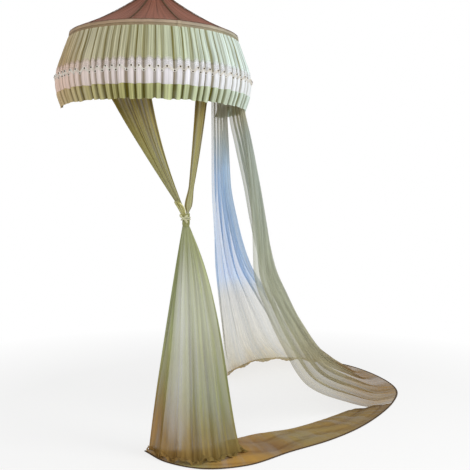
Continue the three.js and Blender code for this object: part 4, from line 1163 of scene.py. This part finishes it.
def build_fan():
    """Down to LYING_FROM the fan hangs, and its last rows lie on the train in ruffles."""
    u, v = plane_of(401, 190)
    hang, lying = np.minimum(v / LYING_FROM, 1), np.clip((v - LYING_FROM) / (1 - LYING_FROM), 0, 1)
    run = blend([through_points(table, hang) for table in fan_runs], u)
    flat = hung(round_neck(FAN_RIM, 165 + 210 * u, NECK_LOW + 0.004), fan_foot(4 * u), run,
                through_points(fan_height, hang))
    flat[..., 0] += lying * (0.018 - 0.03 * (1 - u) + 0.012 * wander(u, 11, 430))
    flat[..., 1] -= lying * (0.034 + 0.016 * wander(u, 9, 431)) * hump(np.clip(u + 0.12, 0, 1)) ** 0.5
    deep = 0.016 * np.sin(np.minimum(1.6 * hang, 1) * np.pi / 2) * (1 + 0.35 * wander(u, 7, 440))
    fine = 0.001 * np.interp(v, (0, 0.15, 0.5, 0.85, 0.95, 1), (0.6, 2.5, 4.5, 5, 6, 6))
    grid, fold = folded(flat, u, v, 6, deep, 14, fine, 400, 0.9)
    ruffle = swing(15 * u + 0.6 * wander(u, 13, 450)) * hump(lying)
    grid[..., 2] += 0.009 * (1 + ruffle) * hump(lying) + 0.003 * lying * (1 + wander(u, 29, 451))
    lanes = sum(weight * np.exp(-((u - at) / half) ** 2) for at, half, weight in fan_lanes)
    band = 0.3 + lanes + 0.16 * wander(u, 8, 460) + 0.1 * wander(u, 21, 461)
    dense = 1 - (1 - band) * ease(v, 0, 0.3) + 0.6 * ease(v, 0.5, 0.88) + 0.35 * near_side(u, 0.015)
    add_sheet("fan", "left_fan", grid, fold, dense, fan_net, "sage_net")


build_fan()

# %% [markdown]
# ## The train
# In front of the opening the cloth lies on the floor in flat, arched folds. It is the strip between the hem and an
# inner line, rippled by a few millimetres. A rolled hem runs outside it and round the whole sweep.

# %% Train and rolled hem
train_inner = floor_curve([(-0.002, 0.004), (0.074, -0.008), (0.151, 0.01), (0.234, 0.043), (0.328, 0.087),
                           (0.445, 0.122), (0.567, 0.191), (0.693, 0.278)])


TRAIN_PLACES, HEM_OUT, HEM_RADIUS = 6.95, 0.0035, 0.0058


def build_train():
    """The train ends just before place 7 of the hem, where the right curtain begins."""
    u, v = plane_of(521, 40)
    grid = blend((hem_line(TRAIN_PLACES * u), train_inner(7 * u)), v[..., None])
    arcs = ridges(2.3 * v + 0.6 * wander(u, 7, 500) + 1.1 * u, 0.8) * hump(v).clip(0) ** 0.5
    small = ridges(7 * v + 1.2 * wander(u, 11, 510) + 2.2 * u) * (0.5 + 0.5 * wander(u, 8, 520))
    grid[..., 2] = np.maximum(grid[..., 2] + 0.0042 * arcs + 0.001 * small + 0.0015, CLOTH_REST)
    dense = 1 - ease(v, 0.55, 1) * (1 - ease(u, 0.34, 0.46))
    add_sheet("train", "front_train", grid, 0.55 + 0.3 * arcs + 0.2 * small, dense, ochre_net, "ochre_net")


def build_rolled_hem():
    along = np.linspace(0, 1, 900)
    path = hem_line(13 * along)
    path += HEM_OUT * unit(np.cross(np.gradient(path, axis=0), (0, 0, 1)))
    path[:, 2] = FLOOR + LAY_LIFT
    roll = tube(path, HEM_RADIUS + 0.0002 * np.sin(along * 900), 12, (0, 0, 1), flat=0.5)
    add_solid("rolled_hem", roll, olive_roll, "olive_binding", "canopy", "hem_binding")


build_train()
build_rolled_hem()

# %% [markdown]
# ## Neck, tie and the bunched edge
# The neck is the whole width of the curtain pressed to a fist's size, so its section is a ring of deep flutes that
# twist a little. The tie is a soft band round it, crossed in front like an X with three short ears, and above it a
# loose edge of the curtain stands out like a leaf.

# %% Neck
def build_neck():
    z, degrees = np.meshgrid(np.linspace(NECK_LOW, NECK_TOP, 40), np.arange(192) / 192 * 360, indexing="ij")
    up, turn = z - TIE_Z, np.radians(degrees)
    near_tie = 1 - ease(abs(up), 0.006, 0.03)
    flute = (np.cos(14 * (turn + 0.35 * np.sin(40 * up)) + 0.8 * np.sin(3 * turn))
             + 0.5 * np.cos(31 * turn + 1 + 20 * up))
    taper = 1 - ease(abs(up), 0.024, 0.044)
    radius = 0.0152 + 0.0034 * taper - 0.0008 * near_tie + 0.0009 * flute
    return round_neck(radius, degrees, z).reshape(-1, 3), ring_faces(40, 192)


add_solid("neck", build_neck(), neck_cloth, "sage_net", "canopy", "gathered_neck")

# %% Tie
KNOT_ANGLE, KNOT_DISTANCE, TAPE_DISTANCE = 245, 0.0301, 0.0216
KNOT_AXES = np.array([on_circle(1.0, KNOT_ANGLE, 0), on_circle(1.0, KNOT_ANGLE + 90, 0), (0, 0, 1)])
KNOT_AT = round_neck(KNOT_DISTANCE, KNOT_ANGLE, TIE_Z)
STRAP_HALF = 0.0007


def from_knot(out, side, height):
    """Places given by how far they are outward, sideways and above the middle of the knot."""
    return KNOT_AT + np.stack(np.broadcast_arrays(out, side, height), -1) @ KNOT_AXES


def knot_bead():
    tilt, turn = np.meshgrid(np.linspace(0.02, np.pi - 0.02, 24), full_turn(48), indexing="ij")
    crease = 1 - 0.1 * np.exp(-((np.cos(tilt) - 0.5 * np.sin(turn)) / 0.16) ** 2) + 0.02 * np.cos(9 * turn + 3 * tilt)
    points = from_knot(0.0068 * np.sin(tilt) * np.cos(turn) * crease, 0.0082 * np.sin(tilt) * np.sin(turn) * crease,
                       0.0085 * np.cos(tilt) * crease)
    return points.reshape(-1, 3), ring_faces(24, 48)


def strap(points, widths):
    """A soft flat strap along a smooth path, bowed across its width."""
    t, s = np.linspace(0, 1, 30), np.linspace(-1, 1, 9)
    line = from_knot(*(through_points(table, t) for table in zip(*points)))
    ahead = unit(np.gradient(line, axis=0))
    across = unit(np.cross(ahead, KNOT_AXES[0]))
    facing = np.cross(across, ahead)[:, None]
    bow = (0.0016 * (1 - s ** 2) + 0.0004 * np.cos(3 * np.pi * s))[:, None]
    half = (STRAP_HALF * (1 - 0.6 * s ** 4))[:, None]
    base = line[:, None] + (through_points(widths, t)[:, None] * s / 2)[..., None] * across[:, None]
    return ribbon(base + (bow + half) * facing, base + (bow - half) * facing)


tapes = [tube(round_neck(TAPE_DISTANCE, np.arange(120) * 3, TIE_Z + shift), 0.0012, 12, (0, 0, 1), closed=True,
              flat=3.1) for shift in (-0.0044, 0.0044)]
arms = [strap([(0, 0, 0), (-0.001, s * 0.009, h * 0.005), (-0.007, s * 0.017, h * 0.0075)],
              [0.008, 0.0085, 0.0075]) for s in (-1, 1) for h in (-1, 1)]
ears = [strap([(0.002, s * 0.002, 0.001), (0.005, s * 0.010, h * 0.007), (0.0035, s * 0.0165, h * 0.0145),
               (0.001, s * 0.019, h * 0.021)], [0.006, 0.010, 0.012, 0.007]) for s, h in ((-1, 1), (1, -1.1), (1, 0.9))]
add_solid("tie", merged(*tapes), pale_tape, "sage_cotton", "tie_back", "tie_band")
add_solid("knot", merged(knot_bead(), *arms, *ears), pale_tape, "sage_cotton", "tie_back", "tie_knot")

# %% Bunched edge
LEAF_ANGLE, LEAF_DISTANCE, LEAF_ROOT = 228, 0.0218, -1.3408


def build_bunch():
    u, v = plane_of(97, 60)
    outward, across = on_circle(1.0, LEAF_ANGLE, 0), on_circle(1.0, LEAF_ANGLE + 90, 0)
    width = 0.009 + 0.040 * hump(0.12 + 0.62 * v) ** 1.2
    flat = round_neck(LEAF_DISTANCE, LEAF_ANGLE, 0) + (0.045 * v ** 1.5)[..., None] * outward
    flat += ((u - 0.5) * width)[..., None] * across
    flat[..., 2] = LEAF_ROOT + (0.088 - 0.03 * abs(np.sin(2 * np.pi * (u - 0.1))) * v) * v
    fold = ridges(uneven(u, v, 6, 610, 0.2), 1.2)
    grid = flat + square_to(flat) * (0.0034 * fold * (0.25 + 0.75 * v))[..., None]
    add_sheet("bunch", "bunched_edge", grid, 0.5 + 0.5 * fold, 1.0, leaf_net, "sage_net")


build_bunch()
